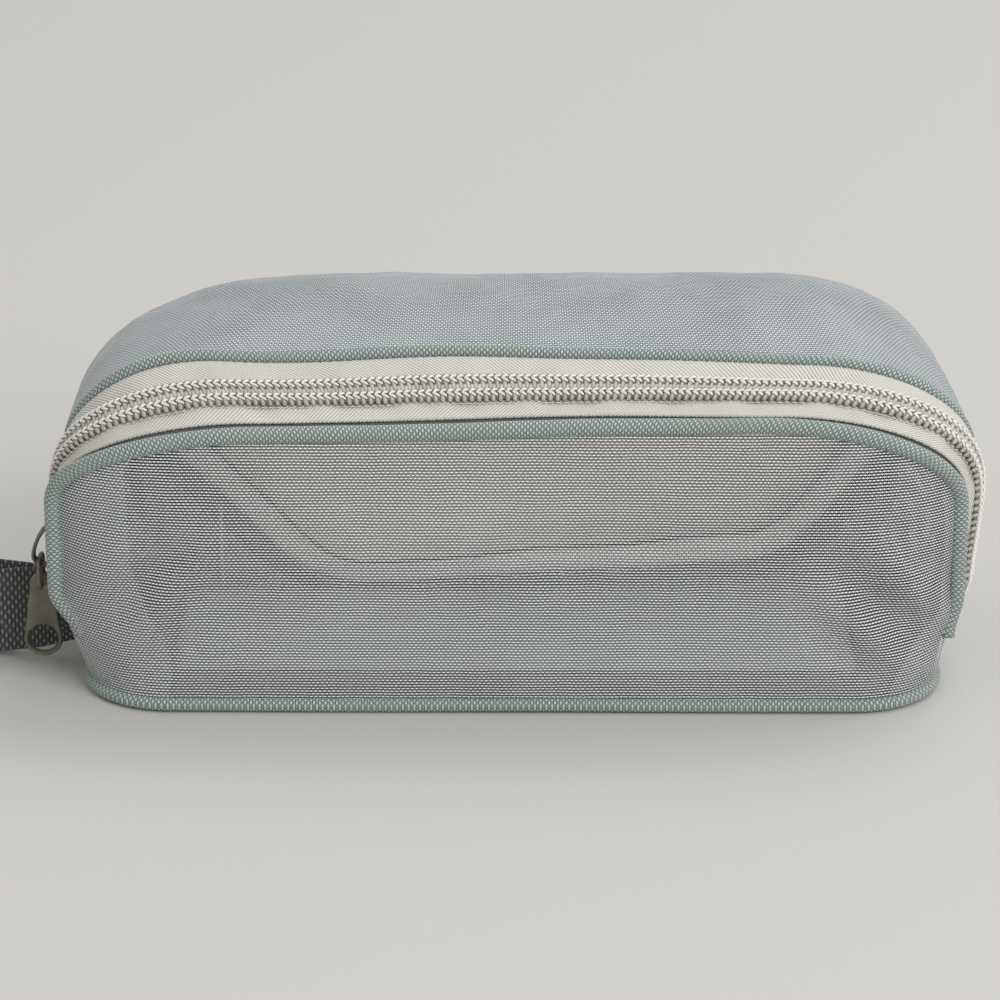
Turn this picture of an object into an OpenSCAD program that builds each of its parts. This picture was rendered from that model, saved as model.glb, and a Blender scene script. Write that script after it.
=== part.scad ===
// Shoe bag: a soft mesh pouch with a piped base and a coil zip that runs over its
// front top edge and down both ends, so the front folds forward as one wide flap.
// +X is along the length, -Y is the front, +Z is up, and the origin is the middle
// of the base's underside.

/* [Base] */
// Length of the base
base_l = 276; // [264:2:288]
// Depth of the base, front to back
base_d = 112; // [104:2:120]
// Corner radius of the base
base_r = 28; // [24:1:32]

/* [Zip band] */
// Length of the bag over the front piping
band_l = 294; // [288:2:300]
// Height of the front piping over the base's underside
front_h = 95; // [88:1:102]
// Height of the rear piping over the base's underside
rear_h = 107; // [100:1:112]
// Horizontal distance between the two pipings
band_run = 31; // [29:1:33]
// How far the zip moves back as it turns down over each shoulder
shoulder_back = 13; // [10:1:16]
// Height where the zip's two ends stop
zip_end_z = 20; // [19:1:22]
// How far the bag's right end swells at the rear piping
right_swell = 5; // [0:1:6]

/* [Top] */
// Height of the bag's highest line
top_h = 120; // [114:1:126]

/* [Piping and cloth] */
// Diameter of the piping
piping_d = 5.6; // [4.6:0.2:6]
// Thickness of the mesh
mesh_t = 0.6; // [0.4:0.1:0.8]
// Thickness of the zip tape
tape_t = 0.8; // [0.6:0.1:0.8]
// Width of the webbing
webbing_w = 30; // [25:1:32]
// Length of the webbing loop
loop_l = 64; // [50:1:80]

/* [Slider and puller] */
// Length of the slider
slider_l = 16; // [14:1:17]
// Radius of the hole in the puller
puller_hole_r = 4.8; // [3.5:0.1:5]

/* [Hidden] */
$fn = 48;

sage = [0.60, 0.66, 0.62];
mesh_grey = [0.62, 0.66, 0.69, 0.55];
cream = [0.84, 0.81, 0.75];
metal = [0.50, 0.48, 0.45];
webbing_grey = [0.30, 0.29, 0.30];

piping_r = piping_d / 2;
half_l = band_l / 2;
base_x = base_l / 2;
base_y = base_d / 2;
base_top = piping_d;          // the height where the walls leave the base piping
front_y = -base_y + 4;        // the front piping's place along the top
rear_y = front_y + band_run;
band_w = norm([band_run, rear_h - front_h]);
rear_back = shoulder_back + band_w - band_run;   // keeps the band's width at the ends
shoulder_z = 65;              // the zip runs straight below this height
tuck_z = 35;                  // and its ends tuck inwards below this one
tuck = half_l - base_x - 1;
fold_z = 16.5;                // the line that the front flap folds on
fold_gap = 0.3;
fold_y = -base_y - 1;

// ---- Small vector tools ----
function unit(v) = v / norm(v);
function mixed(a, b, t) = a + (b - a) * t;
function eased(t) = let (c = min(1, max(0, t))) c * c * (3 - 2 * c);
function side(g) = g < 0 ? -1 : 1;

// ---- The bag's outline, seen from the front ----
// g runs from -1, the lower left end, over the top at 0, to 1, the lower right end.
g_corner = 0.46;
g_side = 0.74;
g_tuck = 0.88;

// Half width and height along an outline, as [x, z] with x positive.
function outline(q, hw, h, a, low, foot) =
  let (b = h - shoulder_z)
  q < g_corner ? [(hw - a) * q / g_corner, h] :
  q < g_side ?
    let (f = 90 * (q - g_corner) / (g_side - g_corner))
    [hw - a + a * sin(f), shoulder_z + b * cos(f)] :
  q < g_tuck ? [hw, mixed(shoulder_z, tuck_z, (q - g_side) / (g_tuck - g_side))] :
    let (f = (q - g_tuck) / (1 - g_tuck))
    [hw - (hw - foot) * eased(f), mixed(tuck_z, low, f)];

function placed(g, o, y_top, h, back) =
  [side(g) * o[0], y_top + back * eased((h - o[1]) / (h - shoulder_z)), o[1]];

front_a = 66;
rear_a = 54;
top_a = 66;
function swell(g) = g > 0 ? right_swell : 0;

// The two piping lines.
function front_line(g) =
  placed(g, outline(abs(g), half_l, front_h, front_a, zip_end_z, half_l - tuck),
         front_y, front_h, shoulder_back);
function rear_line(g) =
  placed(g, outline(abs(g), half_l + swell(g), rear_h, rear_a, zip_end_z,
                    half_l - tuck + swell(g) / 2),
         rear_y, rear_h, rear_back);

// The band between them: w is across it from the zip's middle, n is out of it.
function across(g) = unit(rear_line(g) - front_line(g));
function half_band(g) = norm(rear_line(g) - front_line(g)) / 2;
function along(g) =
  unit(front_line(min(g + 0.004, 1)) - front_line(max(g - 0.004, -1)));
function outward(g) = unit(cross(along(g), across(g)));
function band(g, w, n) =
  (front_line(g) + rear_line(g)) / 2 + w * across(g) + n * outward(g);

// Stations along the outline, closer together where it bends.
function spread(a, b, n) = [for (i = [0:n - 1]) mixed(a, b, i / n)];
half_stations = concat(spread(0, g_corner, 4), spread(g_corner, g_side, 7),
                       spread(g_side, g_tuck, 2), spread(g_tuck, 1, 4), [1]);
n_half = len(half_stations) - 1;
stations = concat([for (i = [n_half:-1:1]) -half_stations[i]], half_stations);
n_st = len(stations);

// ---- Solids from points ----
// A sheet between two grids of points, rows by columns.
module skin(outer, inner) {
  rows = len(outer);
  cols = len(outer[0]);
  total = rows * cols;
  points = concat([for (r = outer) each r], [for (r = inner) each r]);
  faces = concat(
    [for (i = [0:rows - 2], j = [0:cols - 2])
      let (k = i * cols + j) [k, k + cols, k + cols + 1, k + 1]],
    [for (i = [0:rows - 2], j = [0:cols - 2])
      let (k = total + i * cols + j) [k, k + 1, k + cols + 1, k + cols]],
    [for (j = [0:cols - 2]) [j, j + 1, j + 1 + total, j + total]],
    [for (j = [0:cols - 2])
      let (k = (rows - 1) * cols + j) [k, k + total, k + 1 + total, k + 1]],
    [for (i = [0:rows - 2])
      let (k = i * cols) [k, k + total, k + cols + total, k + cols]],
    [for (i = [0:rows - 2])
      let (k = i * cols + cols - 1) [k, k + cols, k + cols + total, k + total]]);
  polyhedron(points, faces, convexity = 8);
}

// A bar through rings of points, with flat ends.
module loft(rings) {
  n = len(rings[0]);
  last = len(rings) - 1;
  faces = concat(
    [[for (i = [n - 1:-1:0]) i]],
    [for (r = [0:last - 1], i = [0:n - 1])
      [r * n + i, r * n + (i + 1) % n, (r + 1) * n + (i + 1) % n, (r + 1) * n + i]],
    [[for (i = [0:n - 1]) last * n + i]]);
  polyhedron([for (r = rings) each r], faces, convexity = 8);
}

// A hollow sleeve through two sets of rings, open at both ends.
module sleeve(outer, inner) {
  n = len(outer[0]);
  rings = len(outer);
  total = rings * n;
  faces = concat(
    [for (r = [0:rings - 2], i = [0:n - 1])
      let (k = r * n, j = (i + 1) % n) [k + i, k + j, k + n + j, k + n + i]],
    [for (r = [0:rings - 2], i = [0:n - 1])
      let (k = total + r * n, j = (i + 1) % n) [k + i, k + n + i, k + n + j, k + j]],
    [for (i = [0:n - 1]) let (j = (i + 1) % n) [i, total + i, total + j, j]],
    [for (i = [0:n - 1])
      let (j = (i + 1) % n, k = (rings - 1) * n)
      [k + i, k + j, total + k + j, total + k + i]]);
  polyhedron([for (r = concat(outer, inner)) each r], faces, convexity = 8);
}

function disc(r, n) = [for (i = [0:n - 1]) r * [cos(-360 * i / n), sin(-360 * i / n)]];
function band_rings(section, at) =
  [for (g = stations) [for (p = section) band(g, at * half_band(g) + p[0], p[1])]];

// ---- Piping, tape and coil on the zip band ----
cord_r = piping_r - 1.15;
cover_in_r = piping_r - 0.8;

module piping_cover(at) {
  sleeve(band_rings(disc(piping_r, 8), at), band_rings(disc(cover_in_r, 8), at));
}

module piping_cord(at) {
  loft(band_rings(disc(cord_r, 6), at));
}

coil_gap = 0.5;      // from the zip's middle to each half
coil_w = 4.7;
coil_t = 2.4;

module zip_tape(s) {
  loft([for (g = stations)
    let (edge = s * (half_band(g) - piping_r - 0.1), mid = s * coil_gap)
    [for (p = s < 0 ? [[edge, 0], [mid, 0], [mid, -tape_t], [edge, -tape_t]]
                    : [[mid, 0], [edge, 0], [edge, -tape_t], [mid, -tape_t]])
      band(g, p[0], p[1])]]);
}

module zip_coil(s) {
  far = coil_gap + coil_w;
  low = 0.3;
  half = [[coil_gap, low], [coil_gap, 1.6], [1.6, coil_t], [far - 1, coil_t],
          [far, 1.4], [far, low]];
  section = s > 0 ? half : [for (i = [len(half) - 1:-1:0]) [-half[i][0], half[i][1]]];
  loft([for (g = stations) [for (p = section) band(g, p[0], p[1])]]);
}

binding_w = 8;
binding_n = -piping_r - 0.7;
module seam_binding(s) {
  loft([for (g = stations)
    let (a = s * (half_band(g) - 2.5), b = s * (half_band(g) - binding_w))
    [for (p = s < 0 ? [[a, 0], [b, 0], [b, -1], [a, -1]]
                    : [[b, 0], [a, 0], [a, -1], [b, -1]])
      band(g, p[0], binding_n + p[1])]]);
}

// ---- The base ----
// The base's outline as [x, y], f degrees round each corner.
function corner_point(k, f, inset) =
  let (cx = base_x - base_r, cy = base_y - base_r, r = base_r - inset, a = 90 * k + f)
  [(k == 0 || k == 3 ? cx : -cx) + r * cos(a), (k < 2 ? cy : -cy) + r * sin(a)];
function base_outline(inset, steps) =
  [for (k = [0:3], i = [0:steps]) corner_point(k, 90 * i / steps, inset)];

// The piping runs once round the base, and its two ends meet behind.
ring_stops = concat([[0.2, base_y, 90]],
  [for (k = [1:4], i = [0:7])
    let (c = corner_point(k % 4, 90 * i / 7, 0)) [c[0], c[1], 90 * k + 90 * i / 7]],
  [[0.6, base_y, 90]]);
function base_ring(radius, sides) =
  [for (c = ring_stops)
    [for (p = disc(radius, sides))
      [c[0] + p[0] * cos(c[2]), c[1] + p[0] * sin(c[2]), piping_r - p[1]]]];

module base_panel() {
  color(sage)
    linear_extrude(1) polygon(base_outline(3.2, 10));
}

board_l = 224;
board_d = 80;
module base_board() {
  color([0.80, 0.82, 0.84])
    translate([0, 2, 1.2]) linear_extrude(1.2) rounded_plate(board_l, board_d, 6);
}

module rounded_plate(l, d, r) {
  square([l - 2 * r, d], center = true);
  square([l, d - 2 * r], center = true);
  for (x = [-1, 1], y = [-1, 1])
    translate([x * (l / 2 - r), y * (d / 2 - r)]) circle(r);
}

module base_piping_cover() {
  color(sage)
    sleeve(base_ring(piping_r, 8), base_ring(cover_in_r, 8));
}

module base_piping_cord() {
  color("white") loft(base_ring(cord_r, 6));
}

module base_seam_binding() {
  color(webbing_grey)
    translate([0, 0, base_top + 0.4]) linear_extrude(7) difference() {
      polygon(base_outline(3.6, 10));
      polygon(base_outline(4.6, 10));
    }
}

// ---- Walls ----
// A sheet through edge points: lows and highs are lists, v0 and v1 are where it
// starts and stops between them, bulge lifts its middle and faces point out of it.
function wall_point(a, b, v, bulge, face) =
  mixed(a, b, v) + bulge * sin(180 * v) * face;
module wall(lows, highs, v0, v1, rows, bulge, faces_out) {
  last = len(lows) - 1;
  grid = [for (r = [0:rows])
    [for (i = [0:last])
      wall_point(lows[i], highs[i], mixed(v0[i], v1[i], r / rows), bulge[i],
                 faces_out[i])]];
  // The direction square to the sheet, from the points on each side.
  function square_to(r, i) =
    unit(cross(grid[r][min(i + 1, last)] - grid[r][max(i - 1, 0)],
               grid[min(r + 1, rows)][i] - grid[max(r - 1, 0)][i]));
  skin(grid, [for (r = [0:rows])
    [for (i = [0:last]) grid[r][i] - mesh_t * square_to(r, i)]]);
}

// Where a front or back wall's foot stands for each station: s is -1 in front.
function foot_angle(q) =
  q < g_side ? 45 * (q - g_corner) / (g_side - g_corner)
             : 45 + 45 * (q - g_side) / (1 - g_side);
function foot(g, s) =
  let (q = abs(g), flat_x = base_x - base_r)
  q < g_corner ? [side(g) * flat_x * q / g_corner, s * base_y, base_top] :
  let (f = foot_angle(q))
  [side(g) * (flat_x + base_r * sin(f)),
   s * (base_y - base_r + base_r * cos(f)), base_top];
function foot_face(g, s) =
  let (q = abs(g), f = q < g_corner ? 0 : foot_angle(q))
  [side(g) * sin(f), s * cos(f), 0];

front_feet = [for (g = stations) foot(g, -1)];
front_faces = [for (g = stations) foot_face(g, -1)];
// The panel stops beside the piping, measured square to it.
function down_side(g) = max(0, (abs(g) - g_side) / (1 - g_side));
function beside(g) = piping_r + 0.3 + 0.9 * eased(down_side(g));
front_tops = [for (g = stations)
  front_line(g) + beside(g) * unit(cross(along(g), [0, -1, 0]))];
// The share of each line from foot to piping at a given height.
function share(lows, highs, z) =
  [for (i = [0:len(lows) - 1]) (z - lows[i][2]) / (highs[i][2] - lows[i][2])];
front_split_low = share(front_feet, front_tops, fold_z - fold_gap);
front_split_high = share(front_feet, front_tops, fold_z + fold_gap);
front_stop = [for (g = stations) 1];
// The flap's panel keeps inside the lower ends of its piping.
function flap_limit(g) = base_x - 7.4 + 2.2 * down_side(g);
flap_feet = [for (i = [0:n_st - 1])
  let (f = front_feet[i], v = front_split_high[i], top = front_tops[i][0],
       x = side(f[0]) * min(abs(mixed(f[0], top, v)), flap_limit(stations[i])))
  [(x - v * top) / (1 - v), f[1], f[2]]];
front_start = [for (i = [0:n_st - 1]) 0.2 / (front_tops[i][2] - base_top)];
front_bulge = [for (g = stations) 2 * (1 - down_side(g))];

module lower_front_panel() {
  color(mesh_grey)
    wall(front_feet, front_tops, front_start, front_split_low, 1, front_bulge, front_faces);
}

module front_panel() {
  used = [for (i = [0:n_st - 1]) if (abs(stations[i]) < g_tuck + 0.001) i];
  function those(list) = [for (i = used) list[i]];
  color(mesh_grey)
    wall(those(flap_feet), those(front_tops), those(front_split_high), those(front_stop),
         7, those(front_bulge), those(front_faces));
}

// The gusset is one strip: from the rear piping over the top and the ends, and
// round the back edge. v runs from 0 at the piping to 1 at the back panel.
back_r = base_r;
roll_start = 0.6;
roll_turn = 75;
function gusset_row(v) =
  let (t = v / roll_start, psi = roll_turn * max(0, (v - roll_start) / (1 - roll_start)),
       inset = back_r * (1 - cos(psi)))
  // [y, height, share of the swell, inset, how far the shoulder moves back]
  v < roll_start ?
    [mixed(rear_y, base_y - back_r, t), mixed(rear_h, top_h, sin(90 * t)), 1 - t, 0,
     mixed(rear_back, 0, t)] :
    [base_y - back_r + back_r * sin(psi), top_h - inset, 0, inset, 0];
function gusset_point(g, v) =
  let (row = gusset_row(v), y = row[0], h = row[1], inset = row[3],
       hw = half_l + 1 + swell(g) * row[2] - inset * 0.9,
       foot_x = base_x - inset,
       o = outline(abs(g), hw, h, mixed(rear_a, top_a, v), base_top + 0.2, foot_x))
  placed(g, o, y, h, row[4]);
function gusset_face(g, v) =
  let (e = 0.01,
       du = gusset_point(min(g + e, 1), v) - gusset_point(max(g - e, -1), v),
       dv = gusset_point(g, min(v + e, 1)) - gusset_point(g, max(v - e, 0)))
  unit(cross(du, dv));
gusset_rows = 10;
gusset_v0 = 0.06;
module mesh_gusset() {
  function grid(t) =
    [for (r = [0:gusset_rows])
      let (v = mixed(gusset_v0, 1, r / gusset_rows))
      [for (g = stations) gusset_point(g, v) - t * gusset_face(g, v)]];
  color(mesh_grey) skin(grid(0), grid(mesh_t));
}

back_feet = [for (g = stations) foot(g, 1) + [0, 0, 0.2]];
back_tops = [for (g = stations) gusset_point(g, 1)];
back_bulge = 3;
module back_panel() {
  inner = 0.985;
  lows = [for (i = [0:n_st - 1])
    [back_tops[i][0] * (0.84 + 0.05 * abs(stations[i]) / g_tuck), base_y - 0.8,
     base_top + 0.2]];
  highs = [for (i = [0:n_st - 1]) back_tops[i] * inner + [0, 0.4, 0]];
  keep = [for (i = [0:n_st - 1]) abs(stations[i]) < g_tuck - 0.01 ? i : -1];
  used = [for (i = keep) if (i >= 0) i];
  color(mesh_grey)
    wall([for (i = used) highs[i]], [for (i = used) lows[i]], [for (i = used) 0],
         [for (i = used) 1], 6, [for (i = used) back_bulge], [for (i = used) [0, 1, 0]]);
}

// Cloth tabs that close the ends under the zip, wider at the top.
module end_tab(s) {
  top_front = front_line(s)[1] + 3;
  low_front = base_r - base_y + 2.5;
  rear = rear_line(s)[1] - 0.5;
  low = base_top + 0.2;
  high = zip_end_z - 0.8;
  color(sage)
    translate([s * base_x - 0.5, 0, 0]) rotate([90, 0, 90]) linear_extrude(1)
      polygon([[low_front, low], [rear, low], [rear, high], [top_front, high]]);
}

module left_end_tab() {
  end_tab(-1);
}

module right_end_tab() {
  end_tab(1);
}

// ---- Inside the bag ----
pocket_y = 35;
pocket_half = 126;
pocket_low = 20;
pocket_side = 78;
function pocket_height(x) =
  pocket_low + (pocket_side - pocket_low) * pow(eased((abs(x) - 34) / (pocket_half - 34)), 0.9);
// From the binding's middle down to the panel's edge, more where the edge slopes.
function pocket_drop(x) = 1.9 * norm([1, pocket_height(x + 0.5) - pocket_height(x - 0.5)]);
pocket_xs = [for (i = [0:20]) mixed(-pocket_half, pocket_half, i / 20)];
function pocket_point(x, z) = [x, pocket_y + 6 * pow(abs(x) / pocket_half, 2), z];
module pocket_panel() {
  function grid(t) =
    [for (r = [0:4])
      [for (x = pocket_xs)
        pocket_point(x, mixed(4.2, pocket_height(x) - pocket_drop(x), r / 4)) + [0, t, 0]]];
  color(mesh_grey) skin(grid(0), grid(mesh_t));
}

module pocket_binding() {
  rings = [for (i = [0:20])
    let (x = pocket_xs[i], c = pocket_point(x, pocket_height(x)) + [0, mesh_t / 2, 0],
         ahead = pocket_point(x + 0.5, pocket_height(x + 0.5)),
         behind = pocket_point(x - 0.5, pocket_height(x - 0.5)),
         up = unit(cross(ahead - behind, [0, 1, 0])))
    [for (p = [[-1, 1.6], [1, 1.6], [1, -1.6], [-1, -1.6]]) c + [0, p[0], 0] + p[1] * up]];
  color(cream) loft(rings);
}

card_y = 48;
module back_card() {
  color(cream)
    translate([4 - 105, card_y, 2.6]) cube([210, 0.8, 81]);
}

module inner_label() {
  color("ivory")
    translate([-base_x + 6, -16, base_top + 0.6]) rotate([0, 0, 90])
      cube([22, 0.5, 16]);
}

// ---- The webbing loop on the left end ----
loop_y = -8.5;
loop_z = 2;
loop_x = -half_l - 5.4;
layer_t = 1.6;
root_w = 11;
root_gap = 0.8;
module loop_root() {
  color(webbing_grey)
    translate([loop_x + root_gap, loop_y - layer_t - 0.2, base_top + 0.4])
      cube([-base_x - 0.7 - loop_x - root_gap, 2 * layer_t + 0.4, root_w]);
}

loop_open_r = 8;
function loop_half(d) = 1 + (loop_open_r - 1) * eased(d / 34);
module webbing_loop() {
  straight = loop_l - loop_open_r;
  function edge(off) = concat(
    [for (i = [0:16]) let (d = straight * i / 16) [-d, loop_half(d) + off]],
    [for (i = [1:15])
      let (a = 90 + 180 * i / 16)
      [-straight + (loop_open_r + off) * cos(a), (loop_open_r + off) * sin(a)]],
    [for (i = [16:-1:0]) let (d = straight * i / 16) [-d, -loop_half(d) - off]]);
  out = edge(layer_t / 2);
  inn = edge(-layer_t / 2);
  color(webbing_grey)
    translate([loop_x, loop_y, loop_z]) linear_extrude(webbing_w)
      polygon(concat(out, [for (i = [len(inn) - 1:-1:0]) inn[i]]));
}

// ---- Slider and puller ----
// The slider's frame: its middle, and the directions across, along and out.
slider_z = 44;
slider_g = -mixed(g_tuck, g_side, (slider_z - tuck_z) / (shoulder_z - tuck_z));
slider_at = band(slider_g, 0, 0);
slide_dir = along(slider_g);
module on_slider() {
  w = across(slider_g);
  t = slide_dir;
  n = outward(slider_g);
  c = slider_at;
  multmatrix([[w[0], t[0], n[0], c[0]], [w[1], t[1], n[1], c[1]], [w[2], t[2], n[2], c[2]]])
    children();
}

plate_w = 12.4;
plate_t = 1.4;
clear = 0.4;
plate_top = coil_t + clear;
plate_low = -tape_t - clear;
pin_at = 3;
module slider_body() {
  color(metal) on_slider() {
    difference() {
      translate([0, 0, plate_top]) linear_extrude(plate_t)
        rounded_plate(plate_w, slider_l, 3);
      translate([0, pin_at, plate_top - 1]) cylinder(r = 0.8, h = plate_t + 2);
    }
    translate([1.1, 1.1, plate_low - plate_t]) linear_extrude(plate_t)
      rounded_plate(plate_w - 2.2, slider_l - 2.2, 3);
    // The wall behind the rear coil, then the post between the two coils.
    translate([coil_gap + coil_w + clear, -slider_l / 2 + 3, clear + 0.2])
      cube([0.6, slider_l - 6, plate_top - clear - 0.2 + 0.4]);
    translate([-0.2, -slider_l / 2 + 0.5, plate_low - 0.4])
      cube([0.4, 3, plate_top - plate_low + 0.8]);
  }
}

pivot_t = -4.5;
pivot_n = 6.9;
wire_r = 0.9;
cap_w = 4;
cap_r = 2.1;
cap_top = plate_top + plate_t;
module slider_cap() {
  color(metal) on_slider()
    translate([-cap_w / 2, 0, 0]) rotate([90, 0, 90]) difference() {
      union() {
        translate([pivot_t, pivot_n, 0]) cylinder(r = cap_r, h = cap_w);
        linear_extrude(cap_w)
          polygon([[pivot_t - cap_r, cap_top + 0.02], [pivot_t - cap_r, pivot_n],
                   [pivot_t + 0.4, pivot_n + cap_r - 0.05], [5.4, cap_top + 1.2],
                   [6.4, cap_top + 0.02]]);
      }
      translate([pivot_t, pivot_n, -1]) cylinder(r = wire_r + 0.3, h = cap_w + 2);
    }
}

module lock_pin() {
  color("silver") on_slider()
    translate([0, pin_at, plate_top + 0.1]) cylinder(r = 0.5, h = plate_t - 0.1);
}

ring_w = 10;
ring_l = 9;
ring_bend = 2;
pivot_at = slider_at + pivot_t * slide_dir + pivot_n * outward(slider_g);
// The ring's frame hangs straight down from the pivot: x across, z up.
module on_pivot() {
  translate(pivot_at) rotate([0, 0, 90]) children();
}

module wire_bend(x, z, from) {
  translate([x, 0, z]) rotate([90, 0, 0]) rotate([0, 0, from])
    rotate_extrude(angle = 90) translate([ring_bend, 0]) circle(wire_r);
}

module pull_ring() {
  hx = ring_w / 2;
  color(metal) on_pivot() {
    for (z = [0, -ring_l])
      translate([-hx + ring_bend, 0, z]) rotate([0, 90, 0])
        cylinder(r = wire_r, h = ring_w - 2 * ring_bend);
    for (x = [-hx, hx])
      translate([x, 0, -ring_l + ring_bend]) cylinder(r = wire_r, h = ring_l - 2 * ring_bend);
    wire_bend(hx - ring_bend, -ring_bend, 0);
    wire_bend(-hx + ring_bend, -ring_bend, 90);
    wire_bend(-hx + ring_bend, -ring_l + ring_bend, 180);
    wire_bend(hx - ring_bend, -ring_l + ring_bend, 270);
  }
}

tab_t = 2;
tab_eye_r = 3.8;
tab_end_r = 6.4;
tab_l = 19;
module puller_tab() {
  lean = asin((tab_end_r - tab_eye_r) / tab_l);
  color(metal) on_pivot()
    translate([0, 0, -ring_l]) rotate([90, 0, 90]) translate([0, 0, -tab_t / 2])
      linear_extrude(tab_t) difference() {
        union() {
          circle(tab_eye_r);
          translate([0, -tab_l]) circle(tab_end_r);
          polygon([for (s = [-1, 1], e = s < 0 ? [0, 1] : [1, 0])
            let (r = e == 0 ? tab_eye_r : tab_end_r)
            [s * r * cos(lean), -e * tab_l + r * sin(lean)]]);
        }
        circle(wire_r + 0.3);
        translate([0, -tab_l]) circle(puller_hole_r);
      }
}

module front_piping_cover() {
  color(sage) piping_cover(-1);
}

module front_piping_cord() {
  color("white") piping_cord(-1);
}

module rear_piping_cover() {
  color(sage) piping_cover(1);
}

module rear_piping_cord() {
  color("white") piping_cord(1);
}

module front_zip_tape() {
  color(cream) zip_tape(-1);
}

module rear_zip_tape() {
  color(cream) zip_tape(1);
}

module front_zip_coil() {
  color(cream) zip_coil(-1);
}

module rear_zip_coil() {
  color(cream) zip_coil(1);
}

module front_seam_binding() {
  color(webbing_grey) seam_binding(-1);
}

module rear_seam_binding() {
  color(webbing_grey) seam_binding(1);
}

base_panel();
base_board();
base_piping_cover();
base_piping_cord();
base_seam_binding();
lower_front_panel();
mesh_gusset();
back_panel();
left_end_tab();
right_end_tab();
rear_piping_cover();
rear_piping_cord();
rear_zip_tape();
rear_zip_coil();
rear_seam_binding();
pocket_panel();
pocket_binding();
back_card();
inner_label();
loop_root();
front_panel();
front_piping_cover();
front_piping_cord();
front_zip_tape();
front_zip_coil();
front_seam_binding();
slider_body();
slider_cap();
lock_pin();
pull_ring();
puller_tab();
webbing_loop();
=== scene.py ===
import math

import bpy
import numpy as np
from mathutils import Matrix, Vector


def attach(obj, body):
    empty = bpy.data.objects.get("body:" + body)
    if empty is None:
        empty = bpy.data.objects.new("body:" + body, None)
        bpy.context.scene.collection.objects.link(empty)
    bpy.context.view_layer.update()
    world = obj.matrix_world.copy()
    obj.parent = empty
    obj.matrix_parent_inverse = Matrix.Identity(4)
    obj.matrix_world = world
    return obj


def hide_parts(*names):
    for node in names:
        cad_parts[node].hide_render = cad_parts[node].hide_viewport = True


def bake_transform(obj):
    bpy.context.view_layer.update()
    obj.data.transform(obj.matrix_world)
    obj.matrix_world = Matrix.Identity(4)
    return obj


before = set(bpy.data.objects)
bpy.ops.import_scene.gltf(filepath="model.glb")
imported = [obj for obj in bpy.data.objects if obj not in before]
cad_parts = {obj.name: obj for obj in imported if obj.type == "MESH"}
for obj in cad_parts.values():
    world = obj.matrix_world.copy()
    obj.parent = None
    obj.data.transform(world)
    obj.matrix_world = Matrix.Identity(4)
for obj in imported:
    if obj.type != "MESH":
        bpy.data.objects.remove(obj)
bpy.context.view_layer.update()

# -------------------- sizes, in mm, as in part.scad
BASE_X, BASE_Y, BASE_R = 138.0, 56.0, 28.0
HALF_L = 147.0
FRONT_H, REAR_H, TOP_H = 95.0, 107.0, 120.0
FRONT_Y, RUN = -52.0, 31.0
REAR_Y = FRONT_Y + RUN
FRONT_BACK = 13.0
REAR_BACK = FRONT_BACK + math.hypot(RUN, REAR_H - FRONT_H) - RUN
FRONT_A, REAR_A, TOP_A = 66.0, 54.0, 66.0
SHOULDER_Z, TUCK_Z, ZIP_END_Z, TUCK = 65.0, 35.0, 20.0, 8.0
SWELL = 4.0
PIPE_R = 2.8
BASE_TOP = 5.6
# g runs from -1 at the zip's left end to 1 at its right end; these are where the outline changes.
G_CORNER, G_SIDE, G_TUCK = 0.46, 0.74, 0.88

FORWARD, UP = np.array([0, -1.0, 0]), np.array([0, 0, 1.0])


def eased(t):
    t = np.clip(t, 0, 1)
    return t * t * (3 - 2 * t)


def mix(a, b, t):
    return a + (b - a) * t


def bump(x, centre, width):
    return np.exp(-(((x - centre) / width) ** 2))


def unit(v):
    return v / np.maximum(np.linalg.norm(v, axis=-1, keepdims=True), 1e-9)


def xyz(x, y, z):
    return np.stack(np.broadcast_arrays(x, y, z), -1)


def side_of(g):
    return np.where(g < 0, -1.0, 1.0)


def ripple(x, y, seed):
    """A smooth, uneven surface of about unit height; x and y in mm."""
    s = seed * 1.7
    return (
        np.sin(x * 0.043 + y * 0.021 + s)
        + 0.6 * np.sin(x * 0.087 - y * 0.071 + 2.1 * s)
        + 0.4 * np.sin(x * 0.151 + y * 0.113 + 3.3 * s)
        + 0.25 * np.sin(x * 0.31 - y * 0.24 + 4.7 * s)
    ) / 2.25


def lengths(path):
    return np.concatenate([[0], np.cumsum(np.linalg.norm(np.diff(path, axis=0), axis=1))])


def picked(s, at, values):
    """The rows of values, given at the lengths at, read at the lengths s."""
    return np.stack([np.interp(s, at, values[:, i]) for i in range(values.shape[1])], -1)


def resampled(path, step):
    s = lengths(path)
    return picked(np.linspace(0, s[-1], max(2, int(round(s[-1] / step)) + 1)), s, path)


# -------------------- the bag's outline
def outline(q, hw, h, a, low, foot):
    """Half of an arch: level over the top, round the shoulder, down the end and in to its foot."""
    f1 = np.radians(90 * (q - G_CORNER) / (G_SIDE - G_CORNER))
    f3 = (q - G_TUCK) / (1 - G_TUCK)
    here = [q < G_CORNER, q < G_SIDE, q < G_TUCK]
    across = [(hw - a) * q / G_CORNER, hw - a + a * np.sin(f1), hw + 0 * q]
    end = mix(SHOULDER_Z, TUCK_Z, (q - G_SIDE) / (G_TUCK - G_SIDE))
    high = [h + 0 * q, SHOULDER_Z + (h - SHOULDER_Z) * np.cos(f1), end]
    x = np.select(here, across, hw - (hw - foot) * eased(f3))
    return x, np.select(here, high, mix(TUCK_Z, low, f3))


def placed(g, x, z, y_top, h, back):
    """Stands an arch up, leaning back from y_top as it comes down to the shoulder."""
    return xyz(side_of(g) * x, y_top + back * eased((h - z) / (h - SHOULDER_Z)), z)


def upper(z):
    return eased((z - 60) / 25)


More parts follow.
